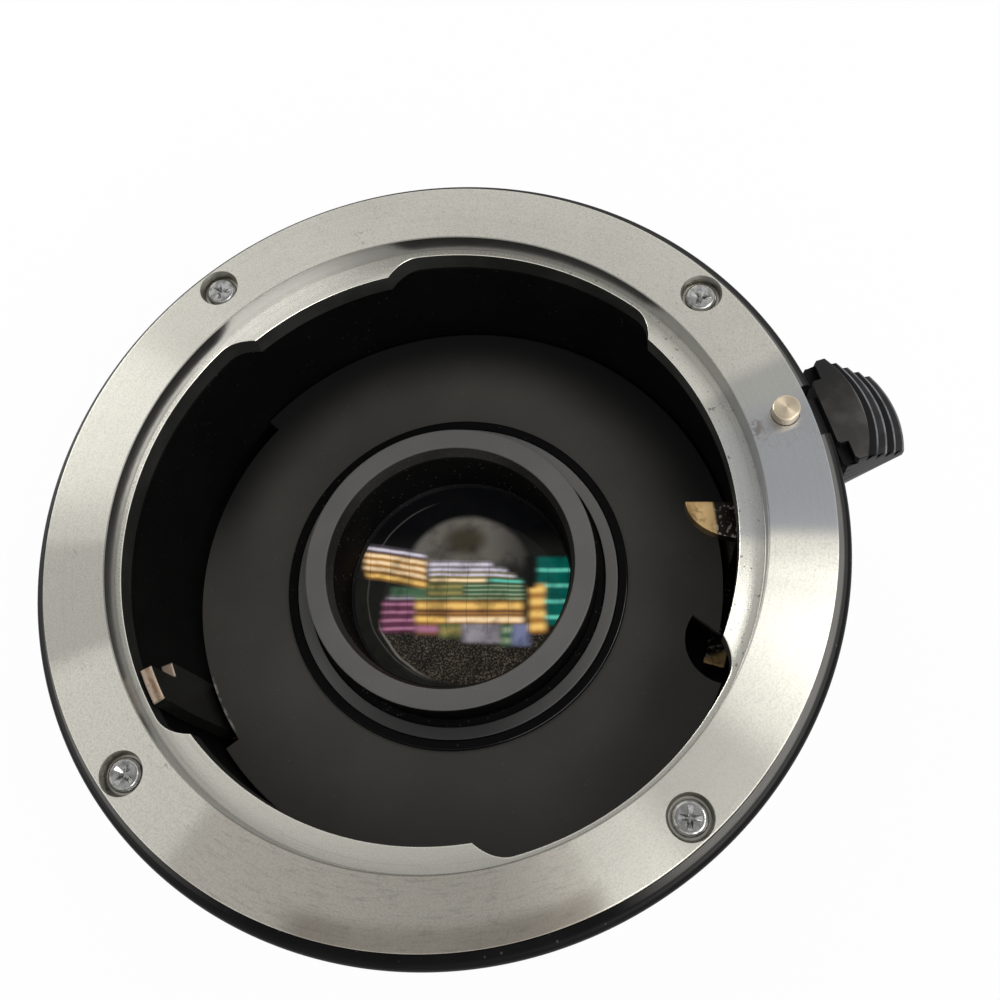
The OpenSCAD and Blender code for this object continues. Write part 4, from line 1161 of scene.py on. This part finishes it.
class TELECONVERTER_OT_lens_cell(bpy.types.Operator):
    """Builds the lens cell and the ring that holds the front glass"""

    bl_idname = "teleconverter.lens_cell"
    bl_label = "Lens cell"

    def execute(self, context):
        look = context.scene.teleconverter.cavity
        cell = look.cell / MM
        rim = look.rim / MM
        collar = look.collar / MM
        bore = look.bore / MM
        floor = look.floor / MM
        pitch = 0.5
        heights = np.arange(19.6, rim - 1.5, pitch / 2)
        thread = np.stack([bore + 0.1 * (np.arange(len(heights)) % 2), heights], axis=-1)
        groove = cell + 0.72
        # Radius and height: over the rim, down the outside, and up the bore past a shelf to its thread
        outside = [[look.rim_inner / MM, rim], [cell, rim], [cell, floor + 0.1], [groove, floor + 0.1],
                   [groove, floor + 0.5], [collar, floor + 0.5], [collar, floor], [cell, floor],
                   [cell, 3.5], [bore, 3.5], [bore, 5.3], [9.1, 5.3], [9.1, 5.9], [bore, 5.9], [bore, 19.2]]
        chamfer = [[bore + 0.1, rim - 1.35]]
        corners = np.concatenate([outside, thread, chamfer])
        seen = [0.1, 0.14, 0.05, 0.05, 0.06, 0.1]
        radii = np.concatenate([seen, np.full(len(corners) - len(seen), 0.02)])
        shape = turned(soften(corners, radii, 3) * MM)
        tube = piece("lens_cell_tube", shape, self.finish(look), ["lens_cell"])
        lining = lining_finish("bore_black_and_wall_shade", (0.0016, 0.0016, 0.0016), 0.16)
        edge = lining_finish("chamfer_black", (0.02, 0.0195, 0.0185), 0.2)
        inner = look.rim_inner - 0.02 * MM

        def in_bore(x, y, z):
            return np.hypot(x, y) < inner

        def on_chamfer(x, y, z):
            return in_bore(x, y, z) & (z > look.rim - 1.3 * MM)

        def on_shaded_wall(x, y, z):
            r = np.hypot(x, y)
            return (r > look.cell - 0.1 * MM) & (r < (groove + 0.02) * MM) & (z < look.rim - 0.14 * MM)

        # The bore's dead black also goes on the cell's outer wall and into the groove at the collar's root,
        # where it is painted shade
        refinish(tube, (lining, in_bore), (edge, on_chamfer), (lining, on_shaded_wall))
        ring = [[10.32, 17.6], [10.48, 17.6], [10.48, 19.5], [10.42, 19.5], [10.32, 18.9]]
        held = turned(soften(ring, 0.02, 3) * MM)
        black = lining_finish("ring_black", (0.012, 0.012, 0.012), 0.1)
        piece("glass_ring", held, black, ["front_retaining_ring"])
        return {"FINISHED"}

    def finish(self, look):
        """Grey anodised metal with fine turning and a little dust. The collar at the foot has painted shadow
        at its lower left and painted light at its right."""
        made = Finish("cell_anodised")
        tone = made.clouded(look.cell_grey, 200, 0.3, 0.93, 1.07)
        tone = made.dusted(tone, 3400, 0.06, 0.3, (0.2, 0.19, 0.17))
        foot = made.z.fall(23.4 * MM, 23.6 * MM)
        # Painted shadow over the collar's lower left
        painted_shadow = foot * made.y.fall(-13 * MM, -5 * MM) * made.x.fall(-2 * MM, 7 * MM)
        tone = made.mix(painted_shadow * 0.8, tone, (0.004, 0.004, 0.004))
        # Painted light on the collar's right side
        tone = made.mix(foot * made.x.rise(6 * MM, 12 * MM), tone, scaled(look.cell_grey, 1.5))
        return made.coat(tone, made.rings(11000, 1.5), 0.42, 0.1, 0.003, 0.35)


# Tints of the reflections painted on the front glass, as displayed from 0 to 255
TINTS = {
    "amber": (162, 116, 60), "gold": (238, 192, 108), "cream": (250, 218, 172), "brown": (118, 78, 62),
    "straw": (142, 130, 80), "slate": (92, 85, 92), "grey": (140, 134, 142), "lilac": (205, 198, 212),
    "pine": (68, 96, 73), "moss": (98, 104, 64), "sage": (138, 154, 122), "teal": (8, 84, 76),
    "mint": (92, 186, 165), "plum": (88, 49, 68), "rose": (160, 106, 132), "blue": (112, 118, 150),
    "dark": (18, 21, 18),
}
# Bars of light painted on the front glass as reflections that glow, in millimetres of the glass's own axes:
# the range across, the range upwards, the lean, the tints of ground and stripes, the stripes' number and
# their half width as a share of the pitch
PAINTED_GLASS_BARS = (
    ((-6.8, -3.1), (-1.1, 0.1), 0.035, "pine", "pine", 2, 0.3),
    ((-9.2, -3.3), (-0.64, 0.05), 0.22, "amber", "gold", 1, 0.45),
    ((-9.4, -3.4), (0.05, 2.12), 0.22, "amber", "cream", 3, 0.42),
    ((-9.4, -3.6), (2.12, 2.8), 0.22, "slate", "lilac", 1, 0.36),
    ((-3.1, 2.7), (2.0, 2.55), 0.05, "grey", "lilac", 1, 0.45),
    ((-3.1, 4.2), (1.5, 2.0), 0.05, "grey", "lilac", 1, 0.45),
    ((-3.0, 5.0), (1.0, 1.5), 0.05, "straw", "lilac", 1, 0.45),
    ((-2.9, 2.4), (0.45, 1.0), 0.05, "straw", "cream", 1, 0.42),
    ((2.4, 5.75), (0.45, 1.0), 0.05, "pine", "mint", 1, 0.42),
    ((-3.1, 0.3), (-0.82, 0.42), 0.035, "moss", "straw", 2, 0.35),
    ((0.3, 5.72), (-0.82, 0.42), 0.035, "pine", "sage", 3, 0.3),
    ((-7.1, -4.3), (-1.2, -0.75), 0.035, "slate", "grey", 1, 0.45),
    ((-4.3, 5.7), (-1.2, -0.82), 0.035, "moss", "sage", 1, 0.45),
    ((-7.5, -4.3), (-4.3, -1.2), 0.04, "plum", "rose", 4, 0.3),
    ((-4.35, -2.1), (-4.5, -3.4), 0.03, "brown", "rose", 1, 0.4),
    ((-4.3, 5.6), (-2.2, -1.25), 0.035, "amber", "gold", 1, 0.46),
    ((-4.3, 5.6), (-2.6, -2.2), 0.035, "brown", "amber", 1, 0.3),
    ((-4.35, -1.2), (-3.45, -2.6), 0.035, "amber", "gold", 1, 0.46),
    ((-1.2, 5.7), (-3.45, -2.6), 0.035, "amber", "cream", 1, 0.46),
    ((-2.0, 0.2), (-4.8, -3.45), 0.035, "moss", "straw", 1, 0.4),
    ((0.1, 3.8), (-5.2, -3.45), 0.035, "grey", "grey", 2, 0.4),
    ((3.7, 4.8), (-5.6, -3.6), 0.0, "pine", "sage", 2, 0.4),
    ((4.8, 6.3), (-5.6, -3.6), 0.0, "blue", "blue", 2, 0.4),
    ((7.0, 10.3), (-3.7, 2.3), 0.0, "teal", "mint", 4, 0.2),
    ((7.0, 10.3), (2.2, 2.85), 0.0, "teal", "teal", 1, 0.2),
    ((6.3, 7.8), (-4.8, -0.1), -0.05, "amber", "gold", 4, 0.42),
    ((5.9, 6.9), (-0.2, 2.95), 0.0, "dark", "dark", 1, 0.4),
)


class TELECONVERTER_OT_glass(bpy.types.Operator):
    """Builds the front glass with its painted reflections and finishes the other elements"""

    bl_idname = "teleconverter.glass"
    bl_label = "Glass"

    def execute(self, context):
        edge, side, dome_height = 10.3, 18.9, 0.6
        r = np.linspace(edge, 0, 30)
        dome = np.stack([r, side + dome_height * (1 - (r / edge) ** 2)], axis=-1)
        outline = np.concatenate([[[0, 15.4], [9.1, 14.9], [10.1, 14.9], [10.1, 17.5]], dome]) * MM
        piece("front_glass", turned(outline), self.coated(), ["front_element"])
        dress(self.clear(), "second_element", "third_element", "fourth_element", "rear_element")
        return {"FINISHED"}

    def clear(self):
        """Dark coated glass of the elements behind, with a violet and green sheen."""
        made = Finish("inner_glass")
        clouds = made.noise(260, 2)
        tone = made.mix(clouds.rise(0.35, 0.65), (0.012, 0.03, 0.026), (0.03, 0.014, 0.034))
        return made.shade(Base_Color=tone, Roughness=0.03 + clouds * 0.02, Coat_Weight=1.0, IOR=1.6)

    def coated(self):
        """Dark glass that glows with painted reflections: grey domes and coloured bars of light."""
        made = Finish("glass_with_painted_reflections")
        turn = np.radians(-15.4)
        c, s = float(np.cos(turn)), float(np.sin(turn))
        waver = made.noise(240, 2) - 0.5
        u = (made.x * c + made.y * s) / MM + waver * 0.7
        v = (made.y * c - made.x * s) / MM + waver * 0.25
        # The glass glows with painted reflections in its emission
        painted_glow = self.domes(made, u, v)
        for across, upwards, lean, ground, stripe, count, width in PAINTED_GLASS_BARS:
            level = v + u * lean
            mask = u.band(*across, 0.5) * level.band(*upwards, 0.25)
            phase = ((level - upwards[0]) * (count / (upwards[1] - upwards[0]))).part()
            light = abs(phase - 0.5).fall(0.05 * width, 1.15 * width)
            painted_glow = made.mix(mask, painted_glow, made.mix(light, display(*TINTS[ground]), display(*TINTS[stripe])))
        posts = abs((u * 0.53 + 0.2).part() - 0.5).fall(0.005, 0.045)
        leaning = v + u * (0.22 - u.rise(-3.3, -3.1) * 0.17)
        painted_glow = made.mix(posts * leaning.band(-4.2, 2.5, 0.3) * 0.3, painted_glow, (0.01, 0.008, 0.008))
        painted_glow = made.mix(made.noise(600).rise(0.42, 0.75) * 0.5, painted_glow, (0.002, 0.002, 0.002))
        return made.shade(Base_Color=(0.004, 0.004, 0.0045), Roughness=0.05, Specular_IOR_Level=0.1,
                          Emission_Color=painted_glow, Emission_Strength=1.0)

    def domes(self, made, u, v):
        """Painted reflections of the surroundings behind the bars: a grey disc above, a speckled one below,
        and a thin arc near the edge."""
        upper = ((u - 0.5) * (u - 0.5) + (v - 1.2) * (v - 1.2)) ** 0.5
        lower = ((u - 0.3) * (u - 0.3) + (v + 0.6) * (v + 0.6)) ** 0.5
        whole = (u * u + v * v) ** 0.5
        left = u.fall(-5.0, -2.0)
        low = v.fall(-4.2, -2.6)
        brown = ((u - 0.3) * (u - 0.3) * 0.5 + (v - 4.7) * (v - 4.7)).fall(0.2, 3.6)
        disc = made.mix(brown, display(92, 89, 83), display(56, 51, 40))
        ground = made.mix(v.rise(2.5, 6.0), display(30, 30, 27), display(7, 8, 9))
        fading = (1 - u.rise(2.0, 6.5) * 0.75) * v.rise(1.2, 3.0)
        painted_glow = made.mix(upper.fall(5.5, 6.3) * fading, ground, disc)
        spots = made.noise(6000).rise(0.46, 0.68)
        speckled = made.mix(spots * 0.8, display(32, 29, 25), display(90, 82, 72))
        painted_glow = made.mix(lower.fall(8.1, 8.7) * low, painted_glow, speckled)
        painted_glow = made.mix(lower.band(8.35, 8.5, 0.12) * left * low * 0.8, painted_glow, display(128, 124, 116))
        return made.mix(whole.band(9.0, 9.12, 0.07) * left, painted_glow, display(64, 62, 58))


class TELECONVERTER_OT_aperture_lever(bpy.types.Operator):
    """Builds the blackened aperture lever with its bare tops"""

    bl_idname = "teleconverter.aperture_lever"
    bl_label = "Aperture lever"

    def execute(self, context):
        look = context.scene.teleconverter.lever
        foot = upright(17.5 * MM, look.outer - 0.05 * MM, 19.6 * MM, 20.65 * MM)
        shape = joined([self.wall(look), arc_bar(foot, 186.1, 197.4, 0.05 * MM)])
        piece("aperture_lever_front", shape, self.finish(look), ["aperture_front_lever"])
        return {"FINISHED"}

    def wall(self, look):
        """Wall on an arc whose height follows the angle: low on the shoulder, high on the bar."""
        angles = np.array([186, 186.3, 188, 189.5, 189.5, 189.75, 192, 194, 196.25, 196.5, 197, 197.5])
        rise = look.bar - look.shoulder
        share = np.array([0, 0, 0, 0, 0.97, 1, 1, 1, 1, 0.97, 0.45, 0])
        ease = np.array([0.15, 0, 0, 0, 0, 0, 0, 0, 0, 0, 0, 0.15]) * MM
        tops = look.shoulder + rise * share - ease
        sections = np.stack([upright(look.inner, look.outer, 19.7 * MM, top) for top in tops])
        return lofted(swung(sections, np.radians(angles)))

    def finish(self, look):
        """Blackened brass, rubbed bare on the bar's top and on the wider part of the shoulder."""
        made = Finish("blackened_brass")
        patch = made.noise(1400, 4)
        bar_top = made.z.rise(look.bar - 0.16 * MM, look.bar - 0.06 * MM)
        wide = made.y.rise(-3.9 * MM, -3.7 * MM)
        shoulder = made.z.band(look.shoulder - 0.12 * MM, look.shoulder + 0.08 * MM, 0.05 * MM) * wide
        bare = (bar_top + shoulder) * (0.7 + patch.rise(0.3, 0.5) * 0.3)
        groove = bar_top * made.r.band(24.5 * MM, 24.92 * MM, 0.15 * MM) * (0.5 + patch.rise(0.35, 0.6) * 0.5)
        tone = made.mix(patch.rise(0.35, 0.7), scaled(look.blackened, 0.7), scaled(look.blackened, 1.3))
        tone = made.mix(bare, tone, look.pale_mark)
        tone = made.mix(groove * 0.8, tone, (0.22, 0.12, 0.055))
        return made.coat(tone, made.noise(5200), 0.38, 0.15, 0.02, 0.5, Metallic=bare,
                         Specular_IOR_Level=0.25)


class TELECONVERTER_OT_stop_down_lever(bpy.types.Operator):
    """Builds the brass stop-down lever with its horn"""

    bl_idname = "teleconverter.stop_down_lever"
    bl_label = "Stop-down lever"

    def execute(self, context):
        look = context.scene.teleconverter.lever
        low = 15.45 * MM
        wall = upright(look.inner, look.outer, low, look.horn - 0.6 * MM)
        foot = upright(17.5 * MM, 25.1 * MM, 15.4 * MM, 16.45 * MM)
        finger = upright(23.1 * MM, 25.1 * MM, low, 16.4 * MM)
        shape = joined([arc_bar(wall, 345, 352, 0.1 * MM), arc_bar(foot, 342, 355, 0.05 * MM),
                        arc_bar(finger, STOP_DOWN_SLOT[0], 343, 0.1 * MM), self.horn(look)])
        piece("stop_down_lever_front", shape, self.finish(look), ["stop_down_front_lever"])
        return {"FINISHED"}

    def horn(self, look):
        """Horn with one straight side and one on a quarter ellipse: along = a (1 - cos t) and
        aside = -b sin t, leaning from the radius through its tip."""
        a, b = 4.6, 3.2
        t = np.linspace(0, np.pi / 2, 28)
        bulge = np.stack([a * (1 - np.cos(t)), -b * np.sin(t)], axis=-1)
        straight = np.stack([np.linspace(4.55, 0.3, 12), np.zeros(12)], axis=-1)
        end = [[4.85, -b], [4.75, -b / 2]]
        outline = np.concatenate([bulge, end, straight]) * MM
        top = look.horn
        low = top - 1.2 * MM
        edge = 0.12 * MM
        p = np.linspace(0, np.pi / 2, 5)
        heights = np.concatenate([low + edge * (1 - np.cos(p)), top - edge * (1 - np.cos(p[::-1]))])
        insets = np.concatenate([edge * (1 - np.sin(p)), edge * (1 - np.sin(p[::-1]))])
        leaning = moved(prism(outline, heights, insets), (20.6 * MM, 0, 0), -11.5)
        return moved(leaning, (0, 0, 0), 353.6)

    def finish(self, look):
        """Bare brass on the horn, dark and scratched towards the wall and down the shank."""
        made = Finish("horn_brass")
        grain = made.noise(5000)
        marks = made.noise(2600, 4)
        high = made.z.rise(18 * MM, 19 * MM)
        wall = made.r.rise(22.6 * MM, 22.9 * MM) * high + made.y.rise(-12.5 * MM, -11.9 * MM) * (1 - high)
        scratch = marks.rise(0.55, 0.62) * made.noise(900, 2).rise(0.42, 0.6)
        brown_patch = made.noise(600).rise(0.45, 0.75) * 0.5
        crack = abs(made.noise(900, 5) - 0.5).fall(0.0, 0.07)
        tone = made.mix(brown_patch, look.brass, (0.42, 0.25, 0.1))
        tone = made.mix(made.r.fall(20.5 * MM, 21.6 * MM) * 0.75, tone, (0.2, 0.12, 0.05))
        tone = made.mix(crack * made.noise(500, 2).rise(0.48, 0.64) * 0.5, tone, (0.16, 0.09, 0.035))
        dark = made.mix(scratch, (0.035, 0.03, 0.024), (0.5, 0.47, 0.42))
        tone = made.mix(wall, tone, dark)
        return made.shade(Base_Color=tone, Metallic=1.0, Roughness=0.28 + grain * 0.2,
                          Normal=made.bump(grain * 0.5 + marks * 0.5, 0.02 * MM, 0.5))


class TELECONVERTER_OT_rear_mount(bpy.types.Operator):
    """Builds the chromed rear bayonet"""

    bl_idname = "teleconverter.rear_mount"
    bl_label = "Rear mount"

    def execute(self, context):
        look = context.scene.teleconverter.rear
        front = context.scene.teleconverter.mount
        r, step, spigot = look.outer / MM, look.step / MM, look.spigot / MM
        inner, lug = look.inner / MM, look.lug / MM
        end, ledge, back = -look.end / MM, -1.8, 2.5
        corners = [[inner, end], [spigot, end], [spigot, ledge], [step, ledge], [step, 0], [r, 0], [r, back],
                   [inner, back]]
        radii = np.array([0.1, 0.3, 0.08, 0.15, 0.06, 0.3, 0.05, 0.1])
        plate = turned(soften(corners, radii) * MM)
        slot = np.array([[24.0, -2.8], [25.5, -2.8], [25.5, 3.5], [24.0, 3.5]]) * MM
        cuts = [arc_bar(slot, *APERTURE_SLOT), round_bar(PIN_CIRCLE, 0, 1.25 * MM, -MM, 1.8 * MM)]
        cuts += screw_pockets(front.screw_circle, REAR_SCREW_ANGLES, 0.0, 1)
        finish = chrome_finish("rear_chrome", front.chrome, -1.7 * MM, False)
        piece("rear_bayonet_plate", plate, finish, ["rear_mount"], cuts)
        section = [[spigot - 0.3, -5.6], [lug, -5.6], [lug, -4.2], [spigot - 0.3, -4.2]]
        section = soften(section, np.array([0, 0.25, 0.2, 0])) * MM
        lugs = joined([arc_bar(section, first + 3, last - 3, 0.25 * MM) for first, last in LUGS])
        piece("rear_bayonet_lugs", lugs, finish, ["rear_mount"])
        return {"FINISHED"}


class TELECONVERTER_OT_springs(bpy.types.Operator):
    """Builds the lock spring and the two return springs"""

    bl_idname = "teleconverter.springs"
    bl_label = "Springs"

    def execute(self, context):
        steel = metal_finish("spring_steel", (0.42, 0.42, 0.41), 0.28)
        self.lock(steel)
        self.back("aperture_return", "aperture_spring", "aperture_coupling", (203.36, 279.68), steel)
        self.back("stop_down_return", "stop_down_spring", "stop_down", (0.83, 77.16), steel)
        dress(steel, "lug_springs", "tube_screws", "spring_posts")
        return {"FINISHED"}

    def lock(self, steel):
        """Upright coil x = c + r cos p, y = r sin p."""
        foot, top, r, turns = 29.61, 33.39, 1.06, 4.5
        middle = PIN_CIRCLE / MM
        t = np.linspace(0, 1, 217)
        p = 2 * np.pi * turns * t
        path = np.stack([middle + r * np.cos(p), r * np.sin(p), foot + (top - foot) * t], axis=-1) * MM
        made = piece("lock_coil", coil(path, SPRING_WIRE), steel, ["lock_spring"], sharp=60)
        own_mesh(made)

    def back(self, name, node, body, ends, steel):
        """Coil about an arc of radius R: q = R + r cos p, x = q cos s, y = q sin s, z = h + r sin p."""
        arc, height, r, turns = 19.35, 17.0, 0.64, 18
        t = np.linspace(0, 1, 433)
        p = 2 * np.pi * turns * t
        s = np.radians(ends[0] + (ends[1] - ends[0]) * t)
        q = arc + r * np.cos(p)
        path = np.stack([q * np.cos(s), q * np.sin(s), height + r * np.sin(p)], axis=-1) * MM
        made = stand_in(name, coil(path, SPRING_WIRE), steel, [node], sharp=60)
        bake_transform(made)


class TELECONVERTER_OT_inner_works(bpy.types.Operator):
    """Finishes the pieces inside, which keep their own meshes"""

    bl_idname = "teleconverter.inner_works"
    bl_label = "Inner works"

    def execute(self, context):
        brass = context.scene.teleconverter.lever.brass
        dress(metal_finish("lever_brass", brass, 0.3), "aperture_rear_lever", "stop_down_rear_lever",
              "aperture_rivets", "stop_down_rivets", "aperture_ring", "stop_down_ring")
        dress(anodised_finish("tube_alloy", (0.02, 0.02, 0.0205), 0.42), "inner_tube", "ring_keeper",
              "ring_spacer", "release_link")
        dress(anodised_finish("mask_black", (0.009, 0.009, 0.009), 0.5), "rear_mask", "rear_retaining_ring",
              "front_spacer", "middle_spacer", "rear_spacer")
        return {"FINISHED"}


PIECES = (
    TELECONVERTER_OT_stage,
    TELECONVERTER_OT_front_mount,
    TELECONVERTER_OT_mount_screws,
    TELECONVERTER_OT_body,
    TELECONVERTER_OT_lock_pin,
    TELECONVERTER_OT_release_slide,
    TELECONVERTER_OT_cavity_floor,
    TELECONVERTER_OT_lens_cell,
    TELECONVERTER_OT_glass,
    TELECONVERTER_OT_aperture_lever,
    TELECONVERTER_OT_stop_down_lever,
    TELECONVERTER_OT_rear_mount,
    TELECONVERTER_OT_springs,
    TELECONVERTER_OT_inner_works,
)


class TELECONVERTER_PT_pieces(bpy.types.Panel):
    """Lists the pieces of the teleconverter"""

    bl_idname = "TELECONVERTER_PT_pieces"
    bl_label = "Teleconverter"
    bl_space_type = "VIEW_3D"
    bl_region_type = "UI"
    bl_category = "Teleconverter"

    def draw(self, context):
        for operator in PIECES:
            self.layout.operator(operator.bl_idname)


CLASSES = (StageSettings, MountSettings, BodySettings, LockSettings, CavitySettings, LeverSettings,
           RearSettings, TeleconverterSettings, *PIECES, TELECONVERTER_PT_pieces)


def register():
    """Registers the classes and hangs the settings on the scene."""
    for item in CLASSES:
        bpy.utils.register_class(item)
    bpy.types.Scene.teleconverter = PointerProperty(type=TeleconverterSettings)


def unregister():
    """Takes the settings and the classes away again."""
    del bpy.types.Scene.teleconverter
    for item in reversed(CLASSES):
        bpy.utils.unregister_class(item)


def main():
    register()
    bpy.ops.teleconverter.stage()
    bpy.ops.teleconverter.front_mount()
    bpy.ops.teleconverter.mount_screws()
    bpy.ops.teleconverter.body()
    bpy.ops.teleconverter.lock_pin()
    bpy.ops.teleconverter.release_slide()
    bpy.ops.teleconverter.cavity_floor()
    bpy.ops.teleconverter.lens_cell()
    bpy.ops.teleconverter.glass()
    bpy.ops.teleconverter.aperture_lever()
    bpy.ops.teleconverter.stop_down_lever()
    bpy.ops.teleconverter.rear_mount()
    bpy.ops.teleconverter.springs()
    bpy.ops.teleconverter.inner_works()


if __name__ == "__main__":
    main()
